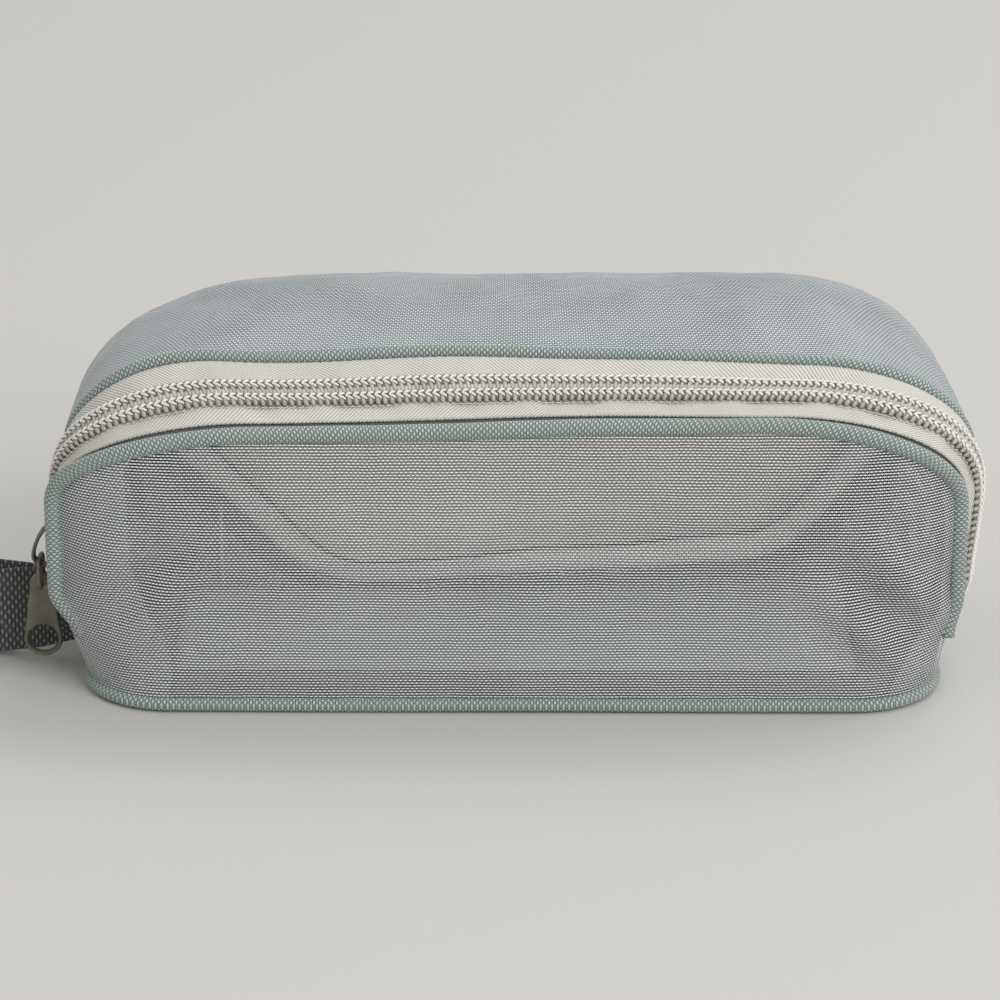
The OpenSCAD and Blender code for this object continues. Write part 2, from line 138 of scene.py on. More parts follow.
def front_line(g):
    # The right end stands a little further in than the left and runs straighter down.
    half = HALF_L + np.where(g > 0, -4.0, 0.0)
    low = np.where(g > 0, 140.3, HALF_L - TUCK)
    x, z = outline(np.abs(g), half, FRONT_H, FRONT_A, ZIP_END_Z, low)
    p = placed(g, x, z, FRONT_Y, FRONT_H, FRONT_BACK)
    sx = p[..., 0]
    dip = -2.6 * bump(sx, -85, 48) + 1.9 * bump(sx, 90, 45) + 0.5 * np.sin(sx * 0.06)
    p[..., 2] += upper(z) * dip
    return p


def rear_arch(g):
    swell = np.where(g > 0, SWELL, 0.0)
    low = HALF_L - TUCK + swell / 2
    x, z = outline(np.abs(g), HALF_L + swell, REAR_H, REAR_A, ZIP_END_Z, low)
    return placed(g, x, z, REAR_Y, REAR_H, REAR_BACK)


def rear_line(g):
    p = rear_arch(g)
    sx = p[..., 0]
    dip = 2.0 + 1.6 * bump(sx, -122, 24) - 0.8 * bump(sx, -75, 28) + 1.8 * bump(sx, -18, 34)
    dip = dip + 0.5 * bump(sx, 38, 30) - 1.8 * bump(sx, 106, 34)
    p[..., 2] += upper(p[..., 2]) * dip
    return p


CROWN = 2.6


class Band:
    """The zip band between the two pipings: s along it, w across it, n out of it."""

    def __init__(self):
        self.g = np.linspace(-1, 1, 2401)
        front, rear = front_line(self.g), rear_line(self.g)
        self.mid = (front + rear) / 2
        self.across = unit(rear - front)
        self.half = np.linalg.norm(rear - front, axis=-1) / 2
        self.s = lengths(self.mid)
        self.length = self.s[-1]
        # The way along is averaged over 61 samples, so that the shoulders turn gently.
        along = unit(np.gradient(self.mid, axis=0))
        long = np.concatenate([np.repeat(along[:1], 30, 0), along, np.repeat(along[-1:], 30, 0)])
        gentle = [np.convolve(long[:, i], np.ones(61) / 61, "valid") for i in range(3)]
        self.outward = unit(np.cross(unit(np.stack(gentle, -1)), self.across))

    def half_at(self, s):
        return np.interp(s, self.s, self.half)

    def g_at(self, s):
        return np.interp(s, self.s, self.g)

    def directions(self, s):
        """The ways across the band and out of it."""
        return unit(picked(s, self.s, self.across)), unit(picked(s, self.s, self.outward))

    def at(self, s, w, n):
        s, w, n = np.broadcast_arrays(*(np.asarray(v, float) for v in (s, w, n)))
        # Down the right end the zip bows outwards between its two seams.
        g = self.g_at(s)
        bow = CROWN * eased((g - 0.45) / 0.25) * (1 - eased((g - 0.74) / 0.16))
        n = n + bow * np.cos(np.clip(w / self.half_at(s), -1, 1) * math.pi / 2)
        across, outward = self.directions(s)
        return picked(s, self.s, self.mid) + w[..., None] * across + n[..., None] * outward


band = Band()


# -------------------- meshes
# A shape is its points in mm, its faces as arrays with one row of corners a face, and the
# pattern's place in mm at each corner.
def mesh_object(name, verts, faces, uvs):
    me = bpy.data.meshes.new(name)
    corners = np.concatenate([f.ravel() for f in faces]).astype(np.int32)
    totals = np.concatenate([np.full(len(f), f.shape[1], np.int32) for f in faces])
    me.vertices.add(len(verts))
    me.vertices.foreach_set("co", verts.ravel() / 1000)
    me.loops.add(len(corners))
    me.loops.foreach_set("vertex_index", corners)
    me.polygons.add(len(totals))
    me.polygons.foreach_set("loop_start", (np.cumsum(totals) - totals).astype(np.int32))
    me.polygons.foreach_set("loop_total", totals)
    layer = me.uv_layers.new(name="UVMap")
    layer.data.foreach_set("uv", np.concatenate(uvs).astype(np.float32).ravel())
    me.polygons.foreach_set("use_smooth", np.full(len(totals), True))
    me.update(calc_edges=True)
    me.validate()
    o = bpy.data.objects.new(name, me)
    bpy.context.scene.collection.objects.link(o)
    return o


class Parts:
    """Several shapes gathered into one."""

    def __init__(self):
        self.v, self.f, self.u, self.n = [], [], [], 0

    def add(self, verts, faces, uvs):
        self.f += [f + self.n for f in faces]
        self.u += uvs
        self.v.append(verts)
        self.n += len(verts)
        return self

    def shape(self):
        return np.concatenate(self.v), self.f, self.u


def turned(verts, faces, uvs):
    """The same shape with every face turned round."""
    back = [u.reshape(-1, f.shape[1], 2)[:, ::-1].reshape(-1, 2) for f, u in zip(faces, uvs)]
    return verts, [f[:, ::-1] for f in faces], back


def pattern(U, V, rows, cols):
    U = np.repeat(U[None, :], rows, 0) if U.ndim == 1 else U
    V = np.repeat(V[:, None], cols, 1) if V.ndim == 1 else V
    return np.stack([U, V], -1)


def grid(P, U, V, wrap_r=False, wrap_c=False):
    """Quads over a grid of points, P[row, column]. U and V are the pattern's place at each column
    and row, with one more than the points where the grid closes."""
    R, C = P.shape[:2]
    rows, cols = R - 1 + wrap_r, C - 1 + wrap_c
    i, j = np.meshgrid(np.arange(rows), np.arange(cols), indexing="ij")
    i2, j2 = (i + 1) % R, (j + 1) % C
    quads = np.stack([i * C + j, i * C + j2, i2 * C + j2, i2 * C + j], -1).reshape(-1, 4)
    at = pattern(U, V, rows + 1, cols + 1)
    uv = np.stack([at[:-1, :-1], at[:-1, 1:], at[1:, 1:], at[1:, :-1]], 2).reshape(-1, 2)
    return P.reshape(-1, 3), [quads], [uv]


def plate(P_top, P_low, U, V):
    """A closed thin sheet between two grids of points, with its four edges."""
    R, C = P_top.shape[:2]
    down_right = np.arange(1, R) * C + C - 1
    up_left = np.arange(R - 2, 0, -1) * C
    border = np.concatenate([np.arange(C), down_right, (R - 1) * C + np.arange(C - 2, -1, -1), up_left])
    nxt = np.roll(border, -1)
    edge = np.stack([border, border + R * C, nxt + R * C, nxt], -1)
    flat = pattern(U, V, R, C).reshape(-1, 2)
    edge_uv = np.stack([flat[border], flat[border], flat[nxt], flat[nxt]], 1).reshape(-1, 2)
    sheet = Parts().add(*grid(P_top, U, V)).add(*turned(*grid(P_low, U, V)))
    return np.concatenate(sheet.v), sheet.f + [edge], sheet.u + [edge_uv]


def bar(rings, U, V):
    """A bar through rings of points, closed with a fan of triangles at both ends."""
    count, sides = rings.shape[:2]
    v, f, u = grid(rings, U, V, wrap_c=True)
    v = np.concatenate([v, rings[0].mean(0)[None], rings[-1].mean(0)[None]])
    ring = np.arange(sides)
    nxt = np.roll(ring, -1)
    last = (count - 1) * sides
    first_fan = np.stack([nxt, ring, np.full(sides, len(v) - 2)], -1)
    last_fan = np.stack([ring + last, nxt + last, np.full(sides, len(v) - 1)], -1)
    return v, f + [first_fan, last_fan], u + [np.zeros((sides * 3, 2))] * 2


def turn_of(sides):
    return np.linspace(0, 2 * math.pi, sides, endpoint=False)


def tube(path, across, up, radius, sides=16, closed=False):
    """A round bar along path. across and up are its section's directions at each point."""
    a = turn_of(sides)
    r = np.asarray(radius, float)
    if r.ndim < 2:
        r = np.repeat(np.broadcast_to(r, (len(path),))[:, None], sides, 1)
    P = path[:, None] + across[:, None] * (r * np.cos(a))[..., None]
    P = P + up[:, None] * (r * np.sin(a))[..., None]
    s = lengths(path)
    U = np.linspace(0, 2 * math.pi * float(np.mean(r)), sides + 1)
    if not closed:
        return bar(P, U, s)
    s = np.append(s, s[-1] + np.linalg.norm(path[0] - path[-1]))
    return grid(P, U, s, wrap_r=True, wrap_c=True)


def frames_for(path, up_hint):
    """Section directions for a path: across and up, from a rough up direction."""
    t = unit(np.gradient(path, axis=0))
    across = unit(np.cross(t, np.broadcast_to(up_hint, t.shape)))
    return across, unit(np.cross(across, t))


def loop_along(ring):
    return unit(np.roll(ring, -1, 0) - np.roll(ring, 1, 0))


def stitch_row(parts, path, face, length=2.5, gap=0.9, r=0.2, lift=0.14):
    """Lockstitches along a path: short threads that dip into the cloth at both ends. face is the
    cloth's outward direction at each point."""
    s = lengths(path)
    face = np.broadcast_to(face, path.shape)
    n = int(s[-1] // (length + gap))
    k = np.linspace(-0.5, 0.5, 6)
    rad = r * np.array([0.55, 0.9, 1, 1, 0.9, 0.55])
    for i in range(n):
        at = (i + 0.5) * s[-1] / n + (length + 0.12 * math.sin(i * 2.7)) * k
        f = unit(picked(at, s, face))
        p = picked(at, s, path) + f * (lift * (1 - (2 * k) ** 4) - 0.16 * (2 * k) ** 4)[:, None]
        t = unit(np.gradient(p, axis=0))
        across = unit(np.cross(t, f))
        parts.add(*tube(p, across, unit(np.cross(across, t)), rad, 6))
    return parts


# -------------------- materials
class Net:
    """A new material and short ways to write its node tree."""

    def __init__(self, name):
        self.material = bpy.data.materials.new(name)
        self.material.use_nodes = True
        self.nt = self.material.node_tree
        self.nt.nodes.clear()
        out = self.nt.nodes.new("ShaderNodeOutputMaterial")
        self.shader = self.nt.nodes.new("ShaderNodeBsdfPrincipled")
        self.nt.links.new(self.shader.outputs[0], out.inputs[0])

    def put(self, socket, value):
        if isinstance(value, bpy.types.NodeSocket):
            self.nt.links.new(value, socket)
        else:
            socket.default_value = value

    def set(self, name, value):
        self.put(self.shader.inputs[name], value)

    def node(self, kind, inputs, operation=None):
        n = self.nt.nodes.new(kind)
        if operation:
            n.operation = operation
        for key, value in inputs.items():
            self.put(n.inputs[key], value)
        return n

    def math(self, op, *values, clamp=False):
        n = self.node("ShaderNodeMath", dict(enumerate(values)), op)
        n.use_clamp = clamp
        return n.outputs[0]

    def plus(self, a, b):
        return self.math("ADD", a, b)

    def times(self, a, b):
        return self.math("MULTIPLY", a, b)

    def scaled(self, a, by, plus):
        return self.math("MULTIPLY_ADD", a, by, plus)

    def wave(self, a, length):
        return self.math("SINE", self.times(a, 2 * math.pi / length))

    def step(self, v, low, high, out_low=0.0, out_high=1.0):
        ends = {"From Min": low, "From Max": high, "To Min": out_low, "To Max": out_high}
        n = self.node("ShaderNodeMapRange", {"Value": v, **ends})
        n.interpolation_type = "SMOOTHSTEP"
        return n.outputs["Result"]

    def uv(self):
        n = self.node("ShaderNodeUVMap", {})
        n.uv_map = "UVMap"
        return self.node("ShaderNodeSeparateXYZ", {0: n.outputs[0]}).outputs[:2]

    def place(self):
        return self.node("ShaderNodeTexCoord", {}).outputs["Object"]

    def noise(self, scale, detail=3.0, rough=0.55, low=0.3, high=0.7):
        values = {"Scale": scale, "Detail": detail, "Roughness": rough, "Vector": self.place()}
        return self.step(self.node("ShaderNodeTexNoise", values).outputs[0], low, high)

    def colour(self, f, a, b):
        n = self.nt.nodes.new("ShaderNodeMix")
        n.data_type = "RGBA"
        self.put(n.inputs[0], f)
        for socket, value in ((n.inputs[6], a), (n.inputs[7], b)):
            self.put(socket, value if isinstance(value, bpy.types.NodeSocket) else (*value, 1))
        return n.outputs[2]

    def bump(self, height, strength, distance):
        values = {"Strength": strength, "Distance": distance, "Height": height}
        self.set("Normal", self.node("ShaderNodeBump", values).outputs[0])


def weave(net, u, v, pitch, wide, soft, weight):
    """A plain weave. weight is how far the yarns along v stand out beside the others. Returns how much
    of the surface is yarn, and its height with yarns passing over and under each other."""
    a, b = net.math("DIVIDE", u, pitch[0]), net.math("DIVIDE", v, pitch[1])
    masks = []
    for x, w in ((a, wide[0]), (b, wide[1])):
        off = net.math("ABSOLUTE", net.math("SUBTRACT", net.math("FRACT", x), 0.5))
        masks.append(net.step(off, w / 2 + soft / 2, w / 2 - soft / 2))
    over_a = net.wave(net.plus(b, net.math("FLOOR", a)), 2)
    over_b = net.wave(net.plus(net.plus(a, net.math("FLOOR", b)), 1.0), 2)
    high_a = net.times(masks[0], net.scaled(over_a, 0.42 * weight, 0.55 * weight))
    high_b = net.times(masks[1], net.scaled(over_b, 0.42, 0.55))
    return net.math("MAXIMUM", *masks), net.math("MAXIMUM", high_a, high_b)


def mesh_cloth(name, light, dark, pitch, wide, film=0.0, haze=0.2, turn=0.0, crisp=(0.35, 0.95)):
    """See-through net: yarns are solid and the holes are open but for a faint film."""
    net = Net(name)
    u, v = net.uv()
    shift = net.scaled(net.noise(90.0, 2.0, 0.5, low=0.2, high=0.8), 0.24, -0.12)
    if turn:
        u, v = net.scaled(v, turn, u), net.scaled(u, -turn, v)
    mask, height = weave(net, net.plus(u, shift), net.plus(v, shift), pitch, wide, 0.12, 0.5)
    # Painted light: the yarns get painted highlights where they pass over and painted shade where they dip
    # under, sharpened by crisp.
    base = net.colour(net.step(height, *crisp), dark, light)
    cloudy = net.times(net.noise(26.0, 3.0, 0.6), haze)
    net.set("Base Color", net.colour(cloudy, base, tuple(min(1, c * 1.05) for c in light)))
    net.set("Alpha", net.math("MULTIPLY_ADD", mask, 0.97 - film, film, clamp=True))
    net.set("Roughness", 0.5)
    net.set("Sheen Weight", 0.2)
    net.set("Sheen Roughness", 0.4)
    net.bump(height, 0.6, 0.0003)
    return net.material


def woven(
    name, light, dark, pitch, rough, strength=0.7, depth=0.00025, wear=None, weight=1.0, crisp=(0.0, 1.0)
):
    """A closed plain weave with darker blotches."""
    net = Net(name)
    height = weave(net, *net.uv(), pitch, (0.86, 0.8), 0.3, weight)[1]
    blotch = net.times(net.noise(55.0, 4.0, 0.6), 0.3)
    fine = net.noise(900.0, 2.0, 0.6)
    # Painted light: the weave is painted lighter where a yarn lies over and painted shade where it dips
    # under, sharpened by crisp.
    base = net.colour(net.step(height, *crisp), dark, light)
    net.set("Base Color", net.colour(blotch, base, wear or tuple(c * 0.82 for c in light)))
    net.set("Roughness", net.step(fine, 0, 1, rough - 0.08, min(1.0, rough + 0.08)))
    net.set("Sheen Weight", 0.2)
    net.bump(net.scaled(fine, 0.18, height), strength, depth)
    return net.material


def twill_tape(name, light, dark, rib):
    """Zip tape with slanting ribs. u runs along and v across."""
    net = Net(name)
    u, v = net.uv()
    slant = net.plus(net.plus(v, u), net.times(net.noise(60.0, 2.0, 0.5), 0.25))
    height = net.scaled(net.wave(slant, rib), 0.34, net.scaled(net.wave(v, 0.62), 0.12, 0.5))
    # Painted light: the ribs are painted lighter on their crests and painted shade in the grooves.
    base = net.colour(net.step(height, 0.1, 0.85), dark, light)
    blotch = net.times(net.noise(40.0, 4.0, 0.6), 0.3)
    net.set("Base Color", net.colour(blotch, base, tuple(c * 0.88 for c in light)))
    net.set("Roughness", 0.75)
    net.set("Sheen Weight", 0.25)
    net.bump(height, 0.75, 0.00035)
    return net.material


def thread(name, light, dark, twist=0.7):
    net = Net(name)
    u, v = net.uv()
    ply = net.scaled(net.wave(net.plus(u, net.times(v, 1.3)), twist), 0.5, 0.5)
    # Painted light: the thread is painted lighter on its plies and painted shade in the grooves between them.
    net.set("Base Color", net.colour(ply, dark, light))
    net.set("Roughness", 0.6)
    net.set("Sheen Weight", 0.2)
    net.bump(ply, 0.5, 0.00008)
    return net.material


def nylon(name, light, dark, rough=0.36):
    net = Net(name)
    n = net.noise(300.0, 3.0, 0.5)
    net.set("Base Color", net.colour(n, dark, light))
    net.set("Roughness", net.step(n, 0, 1, rough - 0.06, rough + 0.1))
    net.set("Subsurface Weight", 0.15)
    net.set("Subsurface Radius", (0.001, 0.001, 0.001))
    net.bump(n, 0.15, 0.0001)
    return net.material


def metal(name, light, dark, rough):
    """Satin metal that is rubbed brighter in small patches."""
    net = Net(name)
    wide = net.noise(120.0, 4.0, 0.6)
    fine = net.noise(2200.0, 2.0, 0.6)
    rub = net.times(net.noise(420.0, 5.0, 0.7, low=0.52, high=0.7), 0.4)
    base = net.colour(wide, dark, light)
    net.set("Base Color", net.colour(rub, base, tuple(min(1, c * 1.5) for c in light)))
    net.set("Metallic", 1.0)
    net.set("Roughness", net.plus(net.times(wide, 0.12), net.scaled(fine, 0.1, rough)))
    net.bump(fine, 0.12, 0.00004)
    return net.material


def crinkles(net):
    """Sharp folded lines, as in foil: the edges of bent cells."""
    bend = net.node("ShaderNodeTexNoise", {"Scale": 60.0, "Vector": net.place()})
    shift = {0: bend.outputs[1], 1: (0.02, 0.02, 0.02), 2: net.place()}
    moved = net.node("ShaderNodeVectorMath", shift, "MULTIPLY_ADD")
    cells = net.node("ShaderNodeTexVoronoi", {"Scale": 95.0, "Vector": moved.outputs[0]})
    cells.feature = "DISTANCE_TO_EDGE"
    return net.step(cells.outputs[0], 0, 0.25)


def plain(name, light, dark, rough, scale, strength=0.25, depth=0.0003, crinkle=0.0, specular=0.5):
    """A smooth sheet with faint cloudy colour and fine grain."""
    net = Net(name)
    fine = net.noise(scale * 14, 3.0, 0.6)
    net.set("Base Color", net.colour(net.noise(scale, 5.0, 0.6), dark, light))
    net.set("Roughness", net.step(fine, 0, 1, rough - 0.07, min(1.0, rough + 0.07)))
    net.set("Specular IOR Level", specular)
    net.bump(net.scaled(crinkles(net), crinkle, fine) if crinkle else fine, strength, depth)
    return net.material


MESH = mesh_cloth(
    "mesh net", (0.98, 0.99, 1.0), (0.075, 0.085, 0.095), (0.72, 0.98), (0.20, 0.42),
    film=0.01, haze=0.06, crisp=(0.20, 0.60),
)
MESH_TOP = mesh_cloth(
    "mesh net top", (0.74, 0.79, 0.815), (0.24, 0.265, 0.28), (0.72, 0.98), (0.50, 0.56), film=0.10
)
# Painted shade: the two dark lining nets below hang inside the bag to darken the inside seen through the
# outer nets.
SHADE_LINING = mesh_cloth(
    "dark net of painted shade", (0.17, 0.185, 0.195), (0.02, 0.023, 0.026), (0.78, 1.02), (0.44, 0.46),
    film=0.10, haze=0.1, turn=-0.09,
)
END_SHADE_LINING = mesh_cloth(
    "dark net of painted shade at the ends", (0.16, 0.172, 0.18), (0.02, 0.023, 0.026), (0.78, 1.02), (0.40, 0.44),
    film=0.10, haze=0.1, turn=-0.09,
)
FACING = mesh_cloth(
    "mesh facing", (0.36, 0.395, 0.42), (0.15, 0.165, 0.175), (0.70, 0.94), (0.62, 0.60),
    film=0.22, turn=0.06,
)
POCKET = mesh_cloth(
    "mesh net pocket", (0.62, 0.66, 0.69), (0.10, 0.11, 0.12), (1.02, 0.8), (0.46, 0.50),
    film=0.2, turn=0.3,
)
SAGE = woven(
    "sage piping cloth", (0.50, 0.58, 0.545), (0.06, 0.08, 0.073), (1.04, 0.92), 0.8,
    wear=(0.22, 0.27, 0.25), weight=0.45, crisp=(0.15, 0.85),
)
TAPE = twill_tape("cream herringbone tape", (0.76, 0.73, 0.675), (0.40, 0.38, 0.345), 1.35)
COIL = nylon("cream nylon coil", (0.53, 0.50, 0.45), (0.40, 0.375, 0.335))
CHAIN = thread("white chain thread", (0.93, 0.92, 0.90), (0.66, 0.64, 0.61))
SEW = thread("sage sewing thread", (0.40, 0.46, 0.43), (0.16, 0.20, 0.18))
CREAM_SEW = thread("cream sewing thread", (0.76, 0.73, 0.67), (0.42, 0.40, 0.36))
CORE = woven("grey coil core", (0.30, 0.285, 0.25), (0.13, 0.122, 0.105), (0.8, 0.6), 0.85)
# Real seam bindings, and also the painted seam shadows: the piping flanges and the dark strip behind the
# front seam.
DARK_BINDING_AND_SHADE = woven("dark woven binding and painted seam shadow", (0.10, 0.115, 0.115), (0.03, 0.035, 0.036), (0.9, 0.6), 0.85)
POCKET_EDGE = woven("cream ribbed edge tape", (0.95, 0.92, 0.80), (0.55, 0.53, 0.45), (2.4, 0.8), 0.8)
# Grey tape, and also the painted shadow line along the pocket's top edge.
GREY_TAPE_AND_SHADE = woven("grey edge tape and painted edge shadow", (0.055, 0.062, 0.062), (0.016, 0.019, 0.019), (1.2, 0.7), 0.85)
WEB = woven(
    "dark ribbed webbing", (0.25, 0.243, 0.245), (0.008, 0.008, 0.008), (1.7, 1.25), 0.85,
    strength=0.9, depth=0.0005, weight=0.5, wear=(0.06, 0.058, 0.06), crisp=(0.2, 0.95),
)
CARD = plain("uncoated cream card", (0.96, 0.93, 0.76), (0.92, 0.88, 0.71), 0.75, 20.0)
BOARD = plain("frosted pale sheet", (0.58, 0.62, 0.66), (0.46, 0.50, 0.53), 0.42, 16.0)
BASE = plain(
    "silvery coated base cloth", (0.34, 0.37, 0.375), (0.12, 0.14, 0.14), 0.36, 24.0,
    0.6, 0.0012, crinkle=0.7, specular=0.6,
)
TAB = woven("sage end cloth", (0.40, 0.46, 0.42), (0.075, 0.10, 0.088), (1.2, 1.1), 0.85)
LABEL = woven("blank woven label", (0.76, 0.76, 0.60), (0.48, 0.47, 0.36), (0.8, 0.6), 0.7)
METAL = metal("warm gunmetal", (0.25, 0.24, 0.195), (0.18, 0.172, 0.14), 0.5)
STEEL = metal("bright steel", (0.62, 0.62, 0.62), (0.5, 0.5, 0.5), 0.25)


def piece(name, shape, material, slot, body, *nodes):
    """A visual piece: what it is made of, the body that carries it and the CAD nodes it replaces."""
    obj = mesh_object(name, *shape)
    obj.data.materials.append(material)
    if body:
        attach(obj, body)
    if nodes:
        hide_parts(*nodes)
    return obj


# -------------------- the base
def base_outline(inset, step):
    """The base's edge, once round from the middle of the front, going left to right."""
    cx, cy, r = BASE_X - BASE_R, BASE_Y - BASE_R, BASE_R - inset
    pts = [(0, -cy - r, 0)]
    for k, (sx, sy) in enumerate(((1, -1), (1, 1), (-1, 1), (-1, -1))):
        for turn in np.radians(90 * k - 90 + np.linspace(0, 90, 17)):
            pts.append((sx * cx + r * math.cos(turn), sy * cy + r * math.sin(turn), 0))
    return resampled(np.array(pts + pts[:1], float), step)[:-1]


def square(nx, ny):
    return np.meshgrid(np.linspace(-1, 1, nx), np.linspace(-1, 1, ny))


def rounded_box(gx, gy, hx, hy, r):
    """Maps a square grid onto a rounded rectangle without folding at its corners."""
    x, y = gx * hx, gy * hy
    cx, cy = hx - r, hy - r
    ox, oy = np.maximum(np.abs(x) - cx, 0), np.maximum(np.abs(y) - cy, 0)
    d = np.hypot(ox, oy)
    s = np.where(d > 1e-9, np.maximum(ox, oy) / np.maximum(d, 1e-9), 1.0)
    across, deep = np.minimum(np.abs(x), cx) + ox * s, np.minimum(np.abs(y), cy) + oy * s
    return np.sign(x) * across, np.sign(y) * deep


BASE_PIPE_R = 2.15
ring = base_outline(0, 2.0)
# The piping's own join is at the back.
ring = np.roll(ring, len(ring) // 2, 0)
out = unit(np.cross(loop_along(ring), UP))
uneven = 0.12 * (1 + np.sin(ring[:, 0] * 0.05 + 1)) * (ring[:, 1] < 0)
ring[:, 2] = BASE_PIPE_R + 0.1 + uneven
radii = BASE_PIPE_R * (1 + 0.02 * np.sin(np.arange(len(ring)) * 1.9))
pipe = tube(ring, out, np.broadcast_to(UP, ring.shape), radii, 20, closed=True)
piece("base_piping", pipe, SAGE, "piping", "shell", "base_piping_cover", "base_piping_cord")

# The base cloth: a coated sheet with crinkles, a little uneven, thicker than a film.
gx, gy = square(120, 50)
bx, by = rounded_box(gx, gy, BASE_X - 2.6, BASE_Y - 2.6, BASE_R - 2.6)
edge_in = eased((1 - np.maximum(np.abs(gx), np.abs(gy))) * 9)
crease = np.abs(ripple(bx * 2.2, by * 2.6, 3)) * 1.1 + 0.35 * np.abs(ripple(bx * 6, by * 5, 5))
lifted = crease * edge_in * (0.35 + 0.65 * eased((np.abs(bx + 5) - 85) / 25))
cloth = plate(xyz(bx, by, 1.15 + lifted), xyz(bx, by, 0.15), gx[0] * BASE_X, gy[:, 0] * BASE_Y)
piece("base_cloth", cloth, BASE, "base_cloth", "shell", "base_panel")

# The loose pale stiffener sheet: its right end rides up at the back.
bx, by = rounded_box(*square(60, 26), 112.0, 40.0, 5.0)
by = by + 2
rise = 2.1 + 5.5 * eased((bx - 40) / 75) * eased((by + 10) / 50) + 2.2 * eased((bx - 70) / 45)
rise = rise + 0.5 * ripple(bx, by, 2)
sheet = plate(xyz(bx, by, rise + 1.0), xyz(bx, by, rise), bx[0], by[:, 0])
piece("base_sheet", sheet, BOARD, "board", "shell", "base_board")

# The inside seam binding round the base.
inner = base_outline(4.1, 3.0)
out = unit(np.cross(loop_along(inner), UP))
wave = 0.5 * ripple(np.arange(len(inner)) * 3.0, 0, 7)
P = np.stack([inner + UP * z + out * (wave * (z - 6) / 6.6)[:, None] for z in (6.0, 9.0, 12.6)])
both = np.concatenate([P + out * 0.45, (P - out * 0.45)[::-1]])
s = np.append(lengths(inner), lengths(inner)[-1] + 3)
strip = grid(both, s, np.array([0, 3, 6.6, 7.2, 10.8, 13.8, 14.4]), wrap_r=True, wrap_c=True)
piece("base_binding", strip, DARK_BINDING_AND_SHADE, "seam_binding", "shell", "base_seam_binding")


# -------------------- the front mesh
def foot(g):
    """Where the front mesh meets the base, and the way that it faces there."""
    q = np.abs(g)
    flat = BASE_X - BASE_R
    before = 45 * (q - G_CORNER) / (G_SIDE - G_CORNER)
    f = np.radians(np.maximum(np.where(q < G_SIDE, before, 45 + 45 * (q - G_SIDE) / (1 - G_SIDE)), 0))
    x = np.where(q < G_CORNER, flat * q / G_CORNER, flat + BASE_R * np.sin(f))
    y = np.where(q < G_CORNER, BASE_Y, BASE_Y - BASE_R + BASE_R * np.cos(f))
    side = side_of(g)
    return xyz(side * x, -y, BASE_TOP - 2.2), xyz(side * np.sin(f), -np.cos(f), 0.0)


def front_inward(g):
    """The way from the front seam into the front mesh."""
    step = 1e-3
    ahead, behind = front_line(np.clip(g + step, -1, 1)), front_line(np.clip(g - step, -1, 1))
    return unit(np.cross(ahead - behind, FORWARD))


def front_surface(g, v):
    """The front mesh from the base piping, v=0, to the front piping, v=1."""
    low, face = foot(g)
    top = front_line(g) + front_inward(g) * 1.2 + FORWARD * 0.6
    p = mix(low, top, v[..., None])
    fade = np.sin(np.pi * np.clip(v, 0, 1))
    down = np.clip((np.abs(g) - G_SIDE) / (1 - G_SIDE), 0, 1)
    # How the cloth hangs: a soft belly, wide waves, and slack folds in both lower corners.
    x, z = p[..., 0], p[..., 2]
    sag = 2.0 * (1 - down) + 0.9 * ripple(x, z * 1.6, 1)
    sag = sag - 2.6 * bump(x, 118, 20) * bump(z, 30, 22) * np.sin((x + z * 0.9) * 0.22)
    sag = sag - 2.2 * bump(x, -120, 20) * bump(z, 34, 24) * np.sin((x - z * 0.8) * 0.2 + 1)
    return p + (sag * fade)[..., None] * face


def fold(obj):
    """Bakes the net's placement into its points."""
    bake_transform(obj)


G, V = np.meshgrid(np.linspace(-1, 1, 241), np.linspace(0, 1, 49))
P = front_surface(G, V)
# Round the corners the pattern also runs on with depth.
U = P[..., 0] + np.sign(P[..., 0]) * 0.55 * (P[..., 1] + BASE_Y) * (np.abs(P[..., 0]) > 80)
net = grid(P, U, P[..., 2] * 1.02)
front_mesh = piece("front_mesh", net, MESH, "mesh", None, "lower_front_panel", "front_panel")
fold(front_mesh)


# In both lower corners a second layer of net is folded in close behind the front mesh.
def corner_facing(name, side, inner_edge):
    """inner_edge is how far along the front the layer starts, as a function of height."""
    v = np.linspace(0.01, 0.97, 41)
    k = np.linspace(0, 1, 29)
    G = side * mix(inner_edge(v)[:, None], 0.985, k[None])
    G = G if side > 0 else G[:, ::-1]
    P = front_surface(G, np.repeat(v[:, None], len(k), 1))
    gap = 1.1 + 0.5 * (1 + ripple(P[..., 0] * 2, P[..., 2] * 2, 21))
    P = P - foot(G)[1] * gap[..., None]
    facing = piece(name, grid(P, G[20] * 170.0, P[:, 14, 2]), FACING, "mesh", None)
    fold(facing)


corner_facing("left_facing", -1, lambda v: mix(0.47, 0.585, eased(v / 0.55)))
corner_facing("right_facing", 1, lambda v: 0.62 + 0.13 * eased(v / 0.5) - 0.07 * eased((v - 0.62) / 0.35))

# The seam's turned-in edge lies behind the front mesh, widest down the right end: a dark strip of painted
# shadow under the front piping.
g = np.linspace(-0.93, 0.99, 181)
line = front_line(g)
wide = 1.6 + 0.5 * np.sin(g * 9) + 4.2 * eased((g - 0.52) / 0.25) * (1 - 0.5 * eased((g - 0.8) / 0.2))
ks = (0, 0.35, 0.7, 1.0)
strip = np.stack([line + front_inward(g) * (1.0 + k * wide)[:, None] - FORWARD * (1.4 + 1.2 * k) for k in ks])
edge = plate(strip, strip - FORWARD * 0.5, lengths(line), np.array([0, 1.5, 3.0, 4.5]))
piece("front_seam_painted_shadow", edge, DARK_BINDING_AND_SHADE, "seam_binding", "front_flap")

# -------------------- the gusset and the back
ROLL_START, ROLL_TURN = 0.6, 75.0


